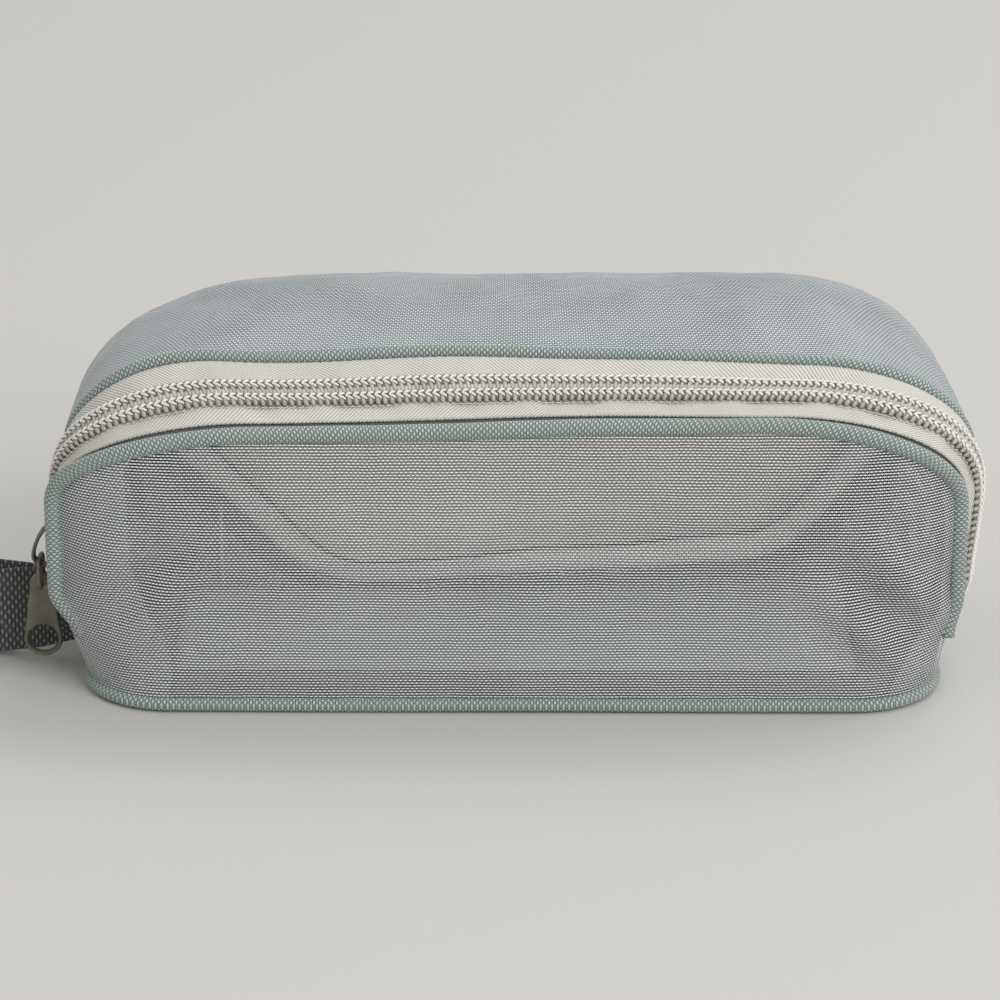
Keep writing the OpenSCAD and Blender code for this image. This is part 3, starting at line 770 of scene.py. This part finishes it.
def gusset_surface(g, v):
    """The gusset from the rear piping, v=0, over the top and round to the back seam, v=1."""
    t = v / ROLL_START
    roll = v >= ROLL_START
    psi = np.radians(ROLL_TURN * np.clip((v - ROLL_START) / (1 - ROLL_START), 0, 1))
    inset = BASE_R * (1 - np.cos(psi))
    y_top = np.where(roll, BASE_Y - BASE_R + BASE_R * np.sin(psi), mix(REAR_Y, BASE_Y - BASE_R, t))
    h = np.where(roll, TOP_H - inset, mix(REAR_H, TOP_H, np.sin(np.radians(90 * np.clip(t, 0, 1)))))
    swell = np.where(g > 0, SWELL, 0.0) * np.where(roll, 0, 1 - t)
    half = HALF_L + 1 + swell - inset * 0.9
    x, z = outline(np.abs(g), half, h, mix(REAR_A, TOP_A, v), BASE_TOP - 2.0, BASE_X - inset)
    p = placed(g, x, z, y_top, h, np.where(roll, 0, mix(REAR_BACK, 0, t)))
    sx, y = p[..., 0], p[..., 1]
    up = upper(z)
    p[..., 2] += (rear_line(g) - rear_arch(g))[..., 2] * np.clip(1 - v / 0.5, 0, 1) ** 1.3
    p[..., 2] += eased(v / 0.6) * up * (0.2 - 3.4 * bump(sx, -108, 34) + 1.6 * bump(sx, 120, 26))
    # Sagging between its edges, with slight waves from the seam.
    free = np.sin(np.pi * np.clip(v, 0, 1))
    p[..., 2] -= up * free * (0.7 + 0.8 * ripple(sx * 1.3, y * 2, 4))
    p[..., 0] += side_of(g) * (1 - up) * free * (1.4 * ripple(z * 1.6, y * 2.2, 6) - 0.8)
    return p


g = np.linspace(-1, 1, 241)
G, V = np.meshgrid(g, np.linspace(0.0, 1, 61))
gusset_P = gusset_surface(G, V)
su = lengths(gusset_P[30])
su = su - su[120]
sv = lengths(gusset_P[:, 120])
gusset = piece("gusset_mesh", grid(gusset_P, su, sv), MESH_TOP, "mesh", "shell", "mesh_gusset")

# The back panel fills the gusset's last row, down to the base.
edge = gusset_P[-1]
keep = np.abs(g) < 0.987
# Along the base its columns stay in order and end where the gusset's edge does.
share = np.interp(np.abs(g[keep]), [0, G_CORNER, G_SIDE, G_TUCK, 1], [0, 0.50, 0.86, 0.95, 1])
low_edge = xyz(np.sign(g[keep]) * np.abs(edge[-1, 0]) * share, BASE_Y - 0.6, BASE_TOP - 2.2)
rows = np.linspace(0, 1, 33)
B = mix(edge[keep][None], low_edge[None], rows[:, None, None])
bulge = np.sin(np.pi * rows)[:, None] * (2.4 + 0.9 * ripple(B[..., 0], B[..., 2] * 1.5, 8))
B[..., 1] += bulge * eased((HALF_L - 12 - np.abs(B[..., 0])) / 30)
back = piece("back_mesh", grid(B, B[..., 0], B[..., 2]), MESH_TOP, "mesh", "shell", "back_panel")

# A darker lining net hangs just inside the gusset and the back: painted shade, a dark sheet that darkens the
# inside seen through the nets.
inside = unit(np.cross(np.gradient(gusset_P, axis=1), np.gradient(gusset_P, axis=0)))
inside = np.where((inside * (gusset_P - [0, 10, 50])).sum(-1, keepdims=True) > 0, -inside, inside)
gap = 1.6 + 0.7 * ripple(gusset_P[..., 0] + gusset_P[..., 2], gusset_P[..., 1], 12)
hung = (gusset_P + inside * gap[..., None])[3:]
for name, here, material in (
    ("gusset_shade_lining", np.abs(g) < 0.66, SHADE_LINING),
    ("left_end_shade_lining", g < -0.655, END_SHADE_LINING),
    ("right_end_shade_lining", g > 0.655, END_SHADE_LINING),
):
    lining = piece(name, grid(hung[:, here], su[here], sv[3:]), material, "mesh", "shell")
L = B + FORWARD * (1.9 - 0.5 * ripple(B[..., 0], B[..., 2], 13))[..., None]
back_shade_lining = piece("back_shade_lining", grid(L, L[..., 0], L[..., 2]), SHADE_LINING, "mesh", "shell")

# The narrow tape over the back seam, with its two rows of stitches.
seam_g = np.linspace(-0.985, 0.985, 201)
seam = gusset_surface(seam_g, np.full_like(seam_g, 1.0))
down = unit(gusset_surface(seam_g, np.full_like(seam_g, 0.955)) - seam)
face = unit(np.cross(unit(np.gradient(seam, axis=0)), down))
face = np.where(face[:, 1:2] < 0, -face, face)
w = np.linspace(-2.6, 2.6, 5)
strip = np.stack([seam + down * k + face * (0.75 - 0.03 * k * k) for k in w])
tape = plate(strip, strip - 0.55 * face[None], lengths(seam), w)
piece("back_seam_tape", tape, SAGE, "piping", "shell")
parts = Parts()
for k in (-1.7, 1.7):
    stitch_row(parts, seam + down * k + face * 0.68, face)
piece("back_seam_stitches", parts.shape(), SEW, "piping", "shell")


# -------------------- strips and piping on the zip band
def band_strip(s, rows, thick, V, outer_first):
    """A thin strip along the band, from rows of (place across, height). Its faces look outwards."""
    top = np.stack([band.at(s, w, n) for w, n in rows])
    low = np.stack([band.at(s, w, n - thick) for w, n in rows])
    return plate(top[::-1], low[::-1], s, V) if outer_first else plate(top, low, s, V)


def piping(name, sign, body, *nodes):
    s = np.linspace(0, band.length, int(band.length / 1.6))
    half = band.half_at(s)
    # The rear piping is thinner and sinks into the gusset.
    size = 1.0 if sign < 0 else 0.84
    sunk = 0.0 if sign < 0 else 0.8 + 0.9 * eased((np.abs(band.g_at(s)) - 0.5) / 0.25)
    # The seam pinches the side that faces the zip, once for each stitch.
    pinch = 0.5 - 0.5 * np.cos(s * 2 * math.pi / 3.2)
    toward = np.maximum(0, -sign * np.cos(turn_of(20))) ** 2
    r = size * PIPE_R * (1 + 0.012 * np.sin(s * 0.21 + 1))[:, None] - 0.16 * pinch[:, None] * toward
    # The flat flange that the seam goes through, under the tape's edge; it is dark, painted shadow in the
    # groove between the piping and the tape.
    e0, e1 = sign * (half - PIPE_R + 0.5), sign * (half - PIPE_R - 4.2)
    rows = [(mix(e0, e1, k), -0.25 - k * k) for k in (0, 0.5, 1)]
    flange = band_strip(s, rows, 0.6, np.array([0, 2.0, 4.0]), sign > 0)
    piece(name + "_shadow_flange", flange, DARK_BINDING_AND_SHADE, "piping", body)
    cover = tube(band.at(s, sign * half, -sunk), *band.directions(s), r, 20)
    piece(name, cover, SAGE, "piping", body, *nodes)


piping("front_piping", -1, "front_flap", "front_piping_cover", "front_piping_cord")
piping("rear_piping", 1, "shell", "rear_piping_cover", "rear_piping_cord")


def zip_tape(name, sign, body):
    s = np.linspace(0, band.length, int(band.length / 1.5))
    half = band.half_at(s)
    rows = []
    for k in np.linspace(0, 1, 12):
        w = mix(0.5, half - (5.3 if sign < 0 else PIPE_R + 0.4), k)
        waves = 0.28 * np.sin(s * 0.19 + 2 * sign) + 0.16 * np.sin(s * 0.47 + sign) + 0.35
        tuck = 0.12 * np.cos(s * 2 * math.pi / 3.2) * k**8
        rows.append((sign * w, waves * math.sin(math.pi * k) + 0.35 * k**6 + tuck))
    across = np.array([abs(float(np.mean(w))) for w, _ in rows])
    tape = band_strip(s, rows, 0.75, across if sign > 0 else across[::-1], sign < 0)
    piece(name, tape, TAPE, "zip_tape", body, name)


zip_tape("front_zip_tape", -1, "front_flap")
zip_tape("rear_zip_tape", 1, "shell")

# -------------------- the coil
PITCH, WIRE = 2.32, 0.72
CORE_W, CORE_H = 1.95, 0.62
# One turn of the coil as (along, across, out): up from the tape, over to the locking head, back below.
TURN = [
    (-0.30, 5.15, 0.60), (-0.34, 5.30, 1.15), (-0.34, 4.85, 1.62), (-0.30, 3.60, 1.74),
    (-0.22, 2.00, 1.74), (-0.12, 0.55, 1.70), (0.00, -0.55, 1.50), (0.06, -0.95, 1.08),
    (0.12, -0.50, 0.66), (0.24, 0.70, 0.50), (0.50, 2.60, 0.50), (0.90, 4.30, 0.52),
]
# One leg of a chain stitch, from its loop's end to the next needle hole.
LEG = [(-1.15, 0.0, 2.3), (-0.7, 0.35, 2.6), (0.1, 0.85, 2.66), (0.75, 1.15, 2.4), (1.0, 1.2, 2.0)]


def at_each_tooth(parts, sign, v, f, u):
    """Sets one shape down at every tooth; the two coils' teeth alternate."""
    start = 1.5 + (0 if sign > 0 else PITCH / 2)
    for i in range(int((band.length - 3) / PITCH)):
        parts.add(band.at(start + (i + 0.5) * PITCH + v[:, 0], v[:, 1], v[:, 2]), f, u)


def coil(name, sign, body, node):
    fine = resampled(np.array(TURN), 0.72)
    wire = WIRE * (1 + 0.28 * bump(fine[:, 1], -0.9, 0.7))
    v, f, u = tube(fine, *frames_for(fine, (1.0, 0, 0)), wire, 8)
    parts = Parts()
    at_each_tooth(parts, sign, *((v, f, u) if sign > 0 else turned(v * [1, -1, 1], f, u)))
    piece(name, parts.shape(), COIL, "zip_coil", body, node)
    # The cord inside the coil, and the chain stitches that hold it to the tape.
    n = int(band.length / 2.2)
    s = np.linspace(1, band.length - 1, n)
    a = turn_of(12)
    oval = CORE_W * CORE_H / np.sqrt((CORE_H * np.cos(a)) ** 2 + (CORE_W * np.sin(a)) ** 2)
    core = tube(band.at(s, sign * 3.0, 1.08), *band.directions(s), np.repeat(oval[None], n, 0), 12)
    piece(name + "_core", core, CORE, "zip_coil", body)
    chain = Parts()
    for flip in (1, -1):
        leg = resampled(np.array(LEG) * [1, flip, 1], 0.42)
        thick = np.interp(np.linspace(0, 1, len(leg)), [0, 0.25, 0.8, 1], [0.55, 1, 1, 0.6])
        v, f, u = tube(leg, *frames_for(leg, UP), 0.40 * thick, 6)
        at_each_tooth(chain, sign, v + [0, sign * 3.05, 0], f, u)
    piece(name + "_chain_stitch", chain.shape(), CHAIN, "zip_coil", body)
    # A row of plain stitches where the coil's back edge meets the tape.
    s = np.linspace(2, band.length - 2, int(band.length / 1.5))
    path, face = band.at(s, sign * 6.35, 0.52), band.directions(s)[1]
    plain_row = stitch_row(Parts(), path, face, 1.7, PITCH - 1.7, 0.24, 0.16)
    piece(name + "_edge_stitch", plain_row.shape(), CREAM_SEW, "zip_coil", body)


coil("front_coil", -1, "front_flap", "front_zip_coil")
coil("rear_coil", 1, "shell", "rear_zip_coil")


# -------------------- inside seam bindings
def seam_binding(name, sign, body, node):
    s = np.linspace(0, band.length, int(band.length / 2.0))
    half = band.half_at(s)
    ks = np.linspace(0, 1, 4)
    hang = 1 + np.sin(s * 0.11 + sign)
    rows = [(sign * mix(half - 2.5, half - 8.5, k), -PIPE_R - 0.7 - 0.5 * k * hang) for k in ks]
    piece(name, band_strip(s, rows, 0.9, ks * 6, sign > 0), DARK_BINDING_AND_SHADE, "seam_binding", body, node)


seam_binding("front_binding", -1, "front_flap", "front_seam_binding")
seam_binding("rear_binding", 1, "shell", "rear_seam_binding")


# -------------------- the end tabs
def end_tab(end, side):
    zs = np.linspace(0, 1, 8)
    Y, Z = np.meshgrid(np.linspace(0, 1, 12), zs)
    y = mix(mix(BASE_R - BASE_Y + 1.0, -38.0, Z), -3.0, Y)
    x = BASE_X + 0.6 + 0.8 * Z + 0.5 * np.sin(math.pi * Y) * np.sin(math.pi * Z)
    top = xyz(side * x, y, mix(BASE_TOP - 1.6, 22.0, Z))
    low = top - [side, 0, 0]
    if side < 0:
        top, low = top[:, ::-1], low[:, ::-1]
    tab = plate(top, low, np.mean(y, 0), zs * 18)
    piece(end + "_end_tab", tab, TAB, "end_tab", "shell", end + "_end_tab")
    parts = Parts()
    for k in (0.86, 0.70):
        row = xyz(side * (BASE_X + 1.05 + 0.8 * k), np.linspace(-33.5, -5, 20), mix(BASE_TOP, 22, k))
        stitch_row(parts, row, [side, 0, 0])
    piece(end + "_tab_stitches", parts.shape(), SEW, "end_tab", "shell")


end_tab("left", -1)
end_tab("right", 1)

# -------------------- the inner pocket
POCKET_Y, POCKET_HALF = 36.0, 126.0
WELT_X = -99.4


def pocket_height(x):
    """The slack top edge: lowest left of the middle, and up to the side seams in two arms."""
    arms = 53 * eased((-x - 50) / 80) + 44 * eased((x - 80) / 60)
    return 23.0 + 0.055 * x - 3.5 * bump(x, -45, 28) + arms + 0.4 * np.sin(x * 0.13)


def pocket_y(x, z):
    side = (np.abs(x) / POCKET_HALF) ** 2
    lean = 6 * side - 12.0 * (1 - side) * eased((z - 3) / 20)
    return POCKET_Y + lean - 0.8 * ripple(x * 1.5, z * 1.5, 9) * eased(z / 12)


x = np.linspace(-POCKET_HALF, POCKET_HALF, 121)
Z = mix(4.0, pocket_height(x)[None], np.linspace(0, 1, 25)[:, None])
P = xyz(x[None], pocket_y(x[None], Z), Z)
pocket = piece("pocket_mesh", grid(P, P[..., 0], Z), POCKET, "pocket_mesh", "shell", "pocket_panel")

# Its edge tape: a cream ribbed band with a dark band below it.
x = np.linspace(-POCKET_HALF, POCKET_HALF, 200)
line = xyz(x, pocket_y(x, pocket_height(x)), pocket_height(x))
rise = unit(np.cross(-FORWARD, unit(np.gradient(line, axis=0))))
rise = np.where(rise[:, 2:3] < 0, -rise, rise)


def edge_band(name, low_k, high_k, thick, material):
    """A band along the pocket's edge, from low_k to high_k above it, rounded in section."""
    ks = np.linspace(low_k, high_k, 7)
    mid, half = (low_k + high_k) / 2, (high_k - low_k) / 2
    # Where the edge hangs lowest the band is gathered, so that it stays above the base.
    low_here = np.maximum(low_k, -(line[:, 2] - 4.8) / rise[:, 2])
    front, rear = [], []
    for k in ks:
        p = line + rise * mix(low_here, high_k, (k - low_k) / (high_k - low_k))[:, None]
        p[:, 1] = pocket_y(p[:, 0], p[:, 2])
        swell = thick * math.sqrt(max(0.05, 1 - ((k - mid) / half) ** 2))
        front.append(p + FORWARD * swell)
        rear.append(p - FORWARD * swell)
    strip = plate(np.stack(front), np.stack(rear), lengths(line), ks)
    piece(name, strip, material, "pocket_binding", "shell", "pocket_binding")


edge_band("pocket_edge_tape", -9.0, 0.3, 1.0, POCKET_EDGE)
# The thin dark band just above the edge is painted shadow along the pocket's top edge.
edge_band("pocket_edge_painted_shadow", 0.5, 1.5, 1.1, GREY_TAPE_AND_SHADE)
edge_band("pocket_grey_tape", -17.6, -9.2, 0.6, GREY_TAPE_AND_SHADE)
z = np.linspace(5, 36, 12)
welt = np.stack([xyz(WELT_X + dx, pocket_y(WELT_X, z) - 1.0, z) for dx in (-0.7, 0, 0.7)])
welt = plate(welt, welt - FORWARD * 0.6, z, np.array([0, 0.7, 1.4]))
piece("pocket_welt", welt, CREAM_SEW, "pocket_binding", "shell")
parts = Parts()
for k in (-0.7, -8.2):
    stitch_row(parts, line + rise * k + FORWARD * 0.75, FORWARD, 2.2, 0.9)
piece("pocket_stitches", parts.shape(), CREAM_SEW, "pocket_binding", "shell")

# The cream card, a little bowed, with one soft crease near its right end.
gx, gy = square(90, 34)
cx, cz = rounded_box(gx, gy, 105.0, 41.0, 6.0)
cx, cz = cx + 4, cz + 43.4
cy = 48.4 - 2.2 * (1 - gx**2) + 0.8 * ripple(cx, cz, 11) - 1.2 * bump(cx, 88, 5)
card = plate(xyz(cx, cy - 0.35, cz), xyz(cx, cy + 0.35, cz), cx[0], cz[:, 0])
piece("back_card", card, CARD, "card", "shell", "back_card")

# The blank label on the left end's inside.
ys, zs = np.meshgrid(np.linspace(-16, 6, 14), np.linspace(6.0, 22.5, 14))
lx = -132.6 + 1.4 * ((zs - 6) / 16) ** 2 + 0.5 * np.sin(ys * 0.4) * (zs - 6) / 16
patch = plate(xyz(lx + 0.3, ys, zs), xyz(lx - 0.1, ys, zs), ys[0], zs[:, 0])
piece("inner_label", patch, LABEL, "label", "shell", "inner_label")

# -------------------- the webbing loop
LOOP_X, LOOP_Y, LOOP_Z, LOOP_L, OPEN_R, WEB_W = -152.4, -8.5, 2.0, 64.0, 8.0, 30.0


def webbing_path():
    """The middle line of the folded webbing in plan: out along the front layer, round the end and back."""
    straight = LOOP_L - OPEN_R
    d = np.linspace(0, straight, 34)
    half = 1 + (OPEN_R - 1) * eased(d / 34)
    out = np.stack([LOOP_X - d, LOOP_Y - half], -1)
    a = np.radians(np.linspace(-90, -270, 26))[1:-1]
    bend = np.stack([LOOP_X - straight + OPEN_R * np.cos(a), LOOP_Y + OPEN_R * np.sin(a)], -1)
    home = np.stack([LOOP_X - d, LOOP_Y + half], -1)[::-1]
    root = np.stack([[-137.4, -141.0, -145.0, -149.0], np.full(4, LOOP_Y - 1.0)], -1)
    return np.concatenate([root, out, bend, home, root[::-1] + [0, 2.0]])


def webbing():
    plan = webbing_path()
    s = lengths(plan)
    t = unit(np.gradient(plan, axis=0))
    k = np.linspace(0, 1, 22)
    # Near the root the band gathers from its full width down to the seam's, in pleats.
    near = eased((plan[:, :1] + 160) / 20)
    z = mix(mix(LOOP_Z + 0.4, 6.0, near), mix(LOOP_Z + WEB_W - 0.4, 18.0, near), k)
    wavy = 0.25 * np.sin(s * 0.16 + 1)[:, None] * (2 * k - 1) + 0.72 * near * np.sin(k * 3 * math.pi)
    thick = 0.72 * np.sqrt(np.clip(1 - np.abs(2 * k - 1) ** 14, 0.1, 1))
    (x, y), (tx, ty) = np.split(plan, 2, 1), np.split(t, 2, 1)
    outer, inner = (xyz(x + ty * w, y - tx * w, z) for w in (wavy + thick, wavy - thick))
    return plate(outer, inner, k * WEB_W, s)


web = piece("webbing_loop", webbing(), WEB, "webbing", None, "webbing_loop", "loop_root")
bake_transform(web)

# -------------------- slider and puller
SLIDER = np.array([-147.0, -22.38, 44.0])


def on_slider(p):
    """From the slider's own frame (across, along, out) to the bag's."""
    return SLIDER + xyz(-p[..., 2], p[..., 0], p[..., 1])


def oblong(c, s, e):
    """A circle's cosines and sines squared off: e is 1 for a circle and less for flatter sides."""
    return np.sign(c) * np.abs(c) ** e, np.sign(s) * np.abs(s) ** e


def slider_outline(width, length):
    """A slider plate's outline: a wide nose and a narrower tail with round corners."""
    a = turn_of(40)
    x, y = oblong(np.cos(a), np.sin(a), 0.62)
    x, y = x * width / 2, y * length / 2
    return np.stack([x * (1 - 0.09 * np.clip(-y / length * 2, 0, 1) ** 2), y], -1)


def pillow(outer, low, high, rim, dome=0.0):
    """A plate with rounded edges: rings from its underside, round its rim, to its top."""
    c = outer.mean(0)
    under = [(0.55, low), (0.93, low), (0.985, low + 0.18 * rim), (1.0, low + rim * 0.6)]
    over = [(1.0, high - rim * 0.6), (0.985, high - 0.18 * rim), (0.93, high)]
    crown = [(0.72, high + dome * 0.5), (0.4, high + dome * 0.9), (0.05, high + dome)]
    rings = [xyz(*(c + (outer - c) * k).T, z) for k, z in under + over + crown]
    rings = on_slider(np.array(rings))
    return bar(rings, np.linspace(0, 40, len(outer) + 1), np.linspace(0, 10, len(rings)))


def block(lo, hi, r=0.15):
    """A box with its upper and lower edges cut back by r."""
    rings = []
    for z, k in ((lo[2], r), (lo[2] + r, 0), (hi[2] - r, 0), (hi[2], r)):
        x0, y0, x1, y1 = lo[0] + k, lo[1] + k, hi[0] - k, hi[1] - k
        rings.append([(x0, y0, z), (x1, y0, z), (x1, y1, z), (x0, y1, z)])
    v, f, u = grid(on_slider(np.array(rings)), np.linspace(0, 4, 5), np.linspace(0, 3, 4), wrap_c=True)
    ends = [np.array([[3, 2, 1, 0]]), np.array([[12, 13, 14, 15]])]
    return v, f + ends, u + [np.zeros((4, 2))] * 2


# The upper plate, the lower plate, its side wall and the post that joins the two. on_slider
# mirrors, so the faces are turned back.
body = Parts()
body.add(*pillow(slider_outline(12.4, 16.0), 2.9, 4.25, 0.7, 0.35))
body.add(*pillow(slider_outline(10.2, 13.8) + [1.1, 1.1], -2.65, -1.25, 0.6))
body.add(*block((5.6, -5, 0.5), (6.2, 5, 3.2)))
body.add(*block((-0.2, -7.4, -1.6), (0.2, -4.6, 3.2)))
piece("slider_body", turned(*body.shape()), METAL, "zip_metal", "slider", "slider_body")

# The arched bridge that holds the pull ring.
arch = [(6.3, 4.2), (5.6, 5.4), (3.2, 7.0), (0.2, 8.3), (-2.4, 9.0), (-4.2, 9.0), (-5.7, 8.2), (-6.6, 6.6)]
arch = np.array([(0, along, high) for along, high in arch + [(-6.7, 4.4)]])
path = resampled(arch, 0.7)
width = 1.75 + 0.35 * np.sin(math.pi * np.linspace(0, 1, len(path)))
t = unit(np.gradient(path, axis=0))
over = xyz(0.0, -t[:, 2], t[:, 1])
over = np.where(over[:, 2:3] < 0, -over, over)
cut, rise = oblong(np.cos(turn_of(20)), np.sin(turn_of(20)), 0.55)
rings = path[:, None] + xyz(cut * width[:, None], 0.0, 0.0) + over[:, None] * (rise * 0.62)[None, :, None]
bridge = bar(on_slider(rings), np.linspace(0, 12, 21), lengths(path))
piece("slider_bridge", bridge, METAL, "zip_metal", "slider", "slider_cap")

a = turn_of(16)
steps = ((2.95, 0.45), (4.3, 0.5), (4.72, 0.5), (4.86, 0.36), (4.9, 0.05))
rings = np.array([xyz(r * np.cos(a), 3 + r * np.sin(a), z) for z, r in steps])
pin = bar(on_slider(rings), np.linspace(0, 3, 17), np.linspace(0, 2, 5))
piece("lock_pin", turned(*pin), STEEL, "steel", "slider", "lock_pin")

# The pull ring, a rounded rectangle of wire, and the puller with its raised rim.
PIVOT = SLIDER + np.array([-6.9, 0, -4.5])
RING_L, RING_W, RING_B = 9.0, 10.0, 2.0
TAB_L, EYE_R, END_R, HOLE_R = 19.0, 3.8, 6.4, 4.8


def ring_path():
    cy = RING_W / 2 - RING_B
    low = RING_B - RING_L
    pts = []
    for y, z, start in ((cy, -RING_B, 0), (-cy, -RING_B, 90), (-cy, low, 180), (cy, low, 270)):
        for b in np.radians(start + np.linspace(0, 90, 9)):
            pts.append((0, y + RING_B * math.cos(b), z + RING_B * math.sin(b)))
    return resampled(np.array(pts + pts[:1]), 0.8)[:-1]


def arc(r, z, start, stop):
    b = np.linspace(start, stop, 60)
    return np.stack([r * np.cos(b), z + r * np.sin(b), 0 * b], -1)


def puller():
    """Rings of points from the front's hole edge, over the face and the rim, round to the back."""
    # The outer edge: a small round eye that widens to a large round end.
    lean = math.asin((END_R - EYE_R) / TAB_L)
    edge = [arc(EYE_R, 0, math.pi + lean, -lean), arc(END_R, -TAB_L, -lean, lean - math.pi)]
    outer = resampled(np.concatenate(edge + [edge[0][:1]]), 0.6)[:-1, :2]
    out = unit(np.stack([-np.gradient(outer[:, 1]), np.gradient(outer[:, 0])], -1))
    # Each outer point has its partner round the big hole, by direction from the hole's middle.
    centre = np.array([0, -TAB_L])
    away = unit(outer - centre)
    hole = centre + HOLE_R * away
    face = [(hole, 0.55), (hole + away * 0.12, 0.86), (hole + away * 0.42, 1.0)]
    face += [(outer - out * 1.25, 1.0), (outer - out * 0.5, 1.02), (outer - out * 0.12, 0.8), (outer, 0.35)]
    rings = face + [(q, -z) for q, z in face[::-1]]
    pts = np.array([xyz(q[:, 0], -z, q[:, 1]) for q, z in rings]) + PIVOT - [0, 0, RING_L]
    U, V = np.linspace(0, 60, len(outer) + 1), np.linspace(0, 20, len(pts) + 1)
    return grid(pts, U, V, wrap_r=True, wrap_c=True)


p = ring_path()
side = np.broadcast_to([1.0, 0, 0], p.shape)
wire = tube(p + PIVOT, unit(np.cross(loop_along(p), side)), side, 0.9, 14, closed=True)
piece("pull_ring", wire, METAL, "zip_metal", "pull_ring", "pull_ring")
piece("puller", puller(), METAL, "zip_metal", "puller", "puller_tab")

# -------------------- floor, light and camera
bpy.ops.mesh.primitive_plane_add(size=12, location=(0, 0, -0.0002))
floor = bpy.context.object
floor.name = "floor"
paper = Net("floor")
paper.set("Base Color", (0.585, 0.572, 0.55, 1))
paper.set("Roughness", 0.95)
paper.set("Specular IOR Level", 0.1)
floor.data.materials.append(paper.material)

world = bpy.data.worlds.new("studio")
bpy.context.scene.world = world
world.use_nodes = True
sky = world.node_tree.nodes["Background"]
sky.inputs[0].default_value = (0.83, 0.83, 0.82, 1)
sky.inputs[1].default_value = 0.69


def area(name, place, target, size, power):
    d = bpy.data.lights.new(name, "AREA")
    d.shape = "RECTANGLE"
    d.size, d.size_y = size
    d.energy = power
    o = bpy.data.objects.new(name, d)
    bpy.context.scene.collection.objects.link(o)
    o.location = place
    o.rotation_mode = "QUATERNION"
    o.rotation_quaternion = (Vector(target) - Vector(place)).to_track_quat("-Z", "Y")


area("key", (2.1, -2.7, 2.3), (0.0, 0, 0.05), (2.2, 2.2), 84.0)
area("fill", (-2.6, -2.8, 1.8), (0, 0, 0.05), (2.4, 1.8), 4.5)
area("top", (1.5, 1.4, 3.3), (0, 0.02, 0.08), (2.6, 1.8), 50.0)

ELEVATION, AZIMUTH, DISTANCE = 21.0, 0.3, 1.3
TARGET = Vector((-0.0042, 0.0, 0.050))
# The lens is as long as makes the picture 1 / 3.03 m wide at the target.
SENSOR, ZOOM = 36.0, 3.03
e, a = math.radians(ELEVATION), math.radians(AZIMUTH)
toward_camera = Vector((math.sin(a) * math.cos(e), -math.cos(a) * math.cos(e), math.sin(e)))
cam_data = bpy.data.cameras.new("camera")
cam = bpy.data.objects.new("camera", cam_data)
bpy.context.scene.collection.objects.link(cam)
cam.location = TARGET + toward_camera * DISTANCE
cam.rotation_mode = "QUATERNION"
cam.rotation_quaternion = (-toward_camera).to_track_quat("-Z", "Y")
cam_data.sensor_width = SENSOR
cam_data.lens = SENSOR * ZOOM * DISTANCE
cam_data.shift_y = 0.004
cam_data.clip_start, cam_data.clip_end = 0.05, 20
bpy.context.scene.camera = cam
bpy.context.scene.view_settings.view_transform = "Standard"
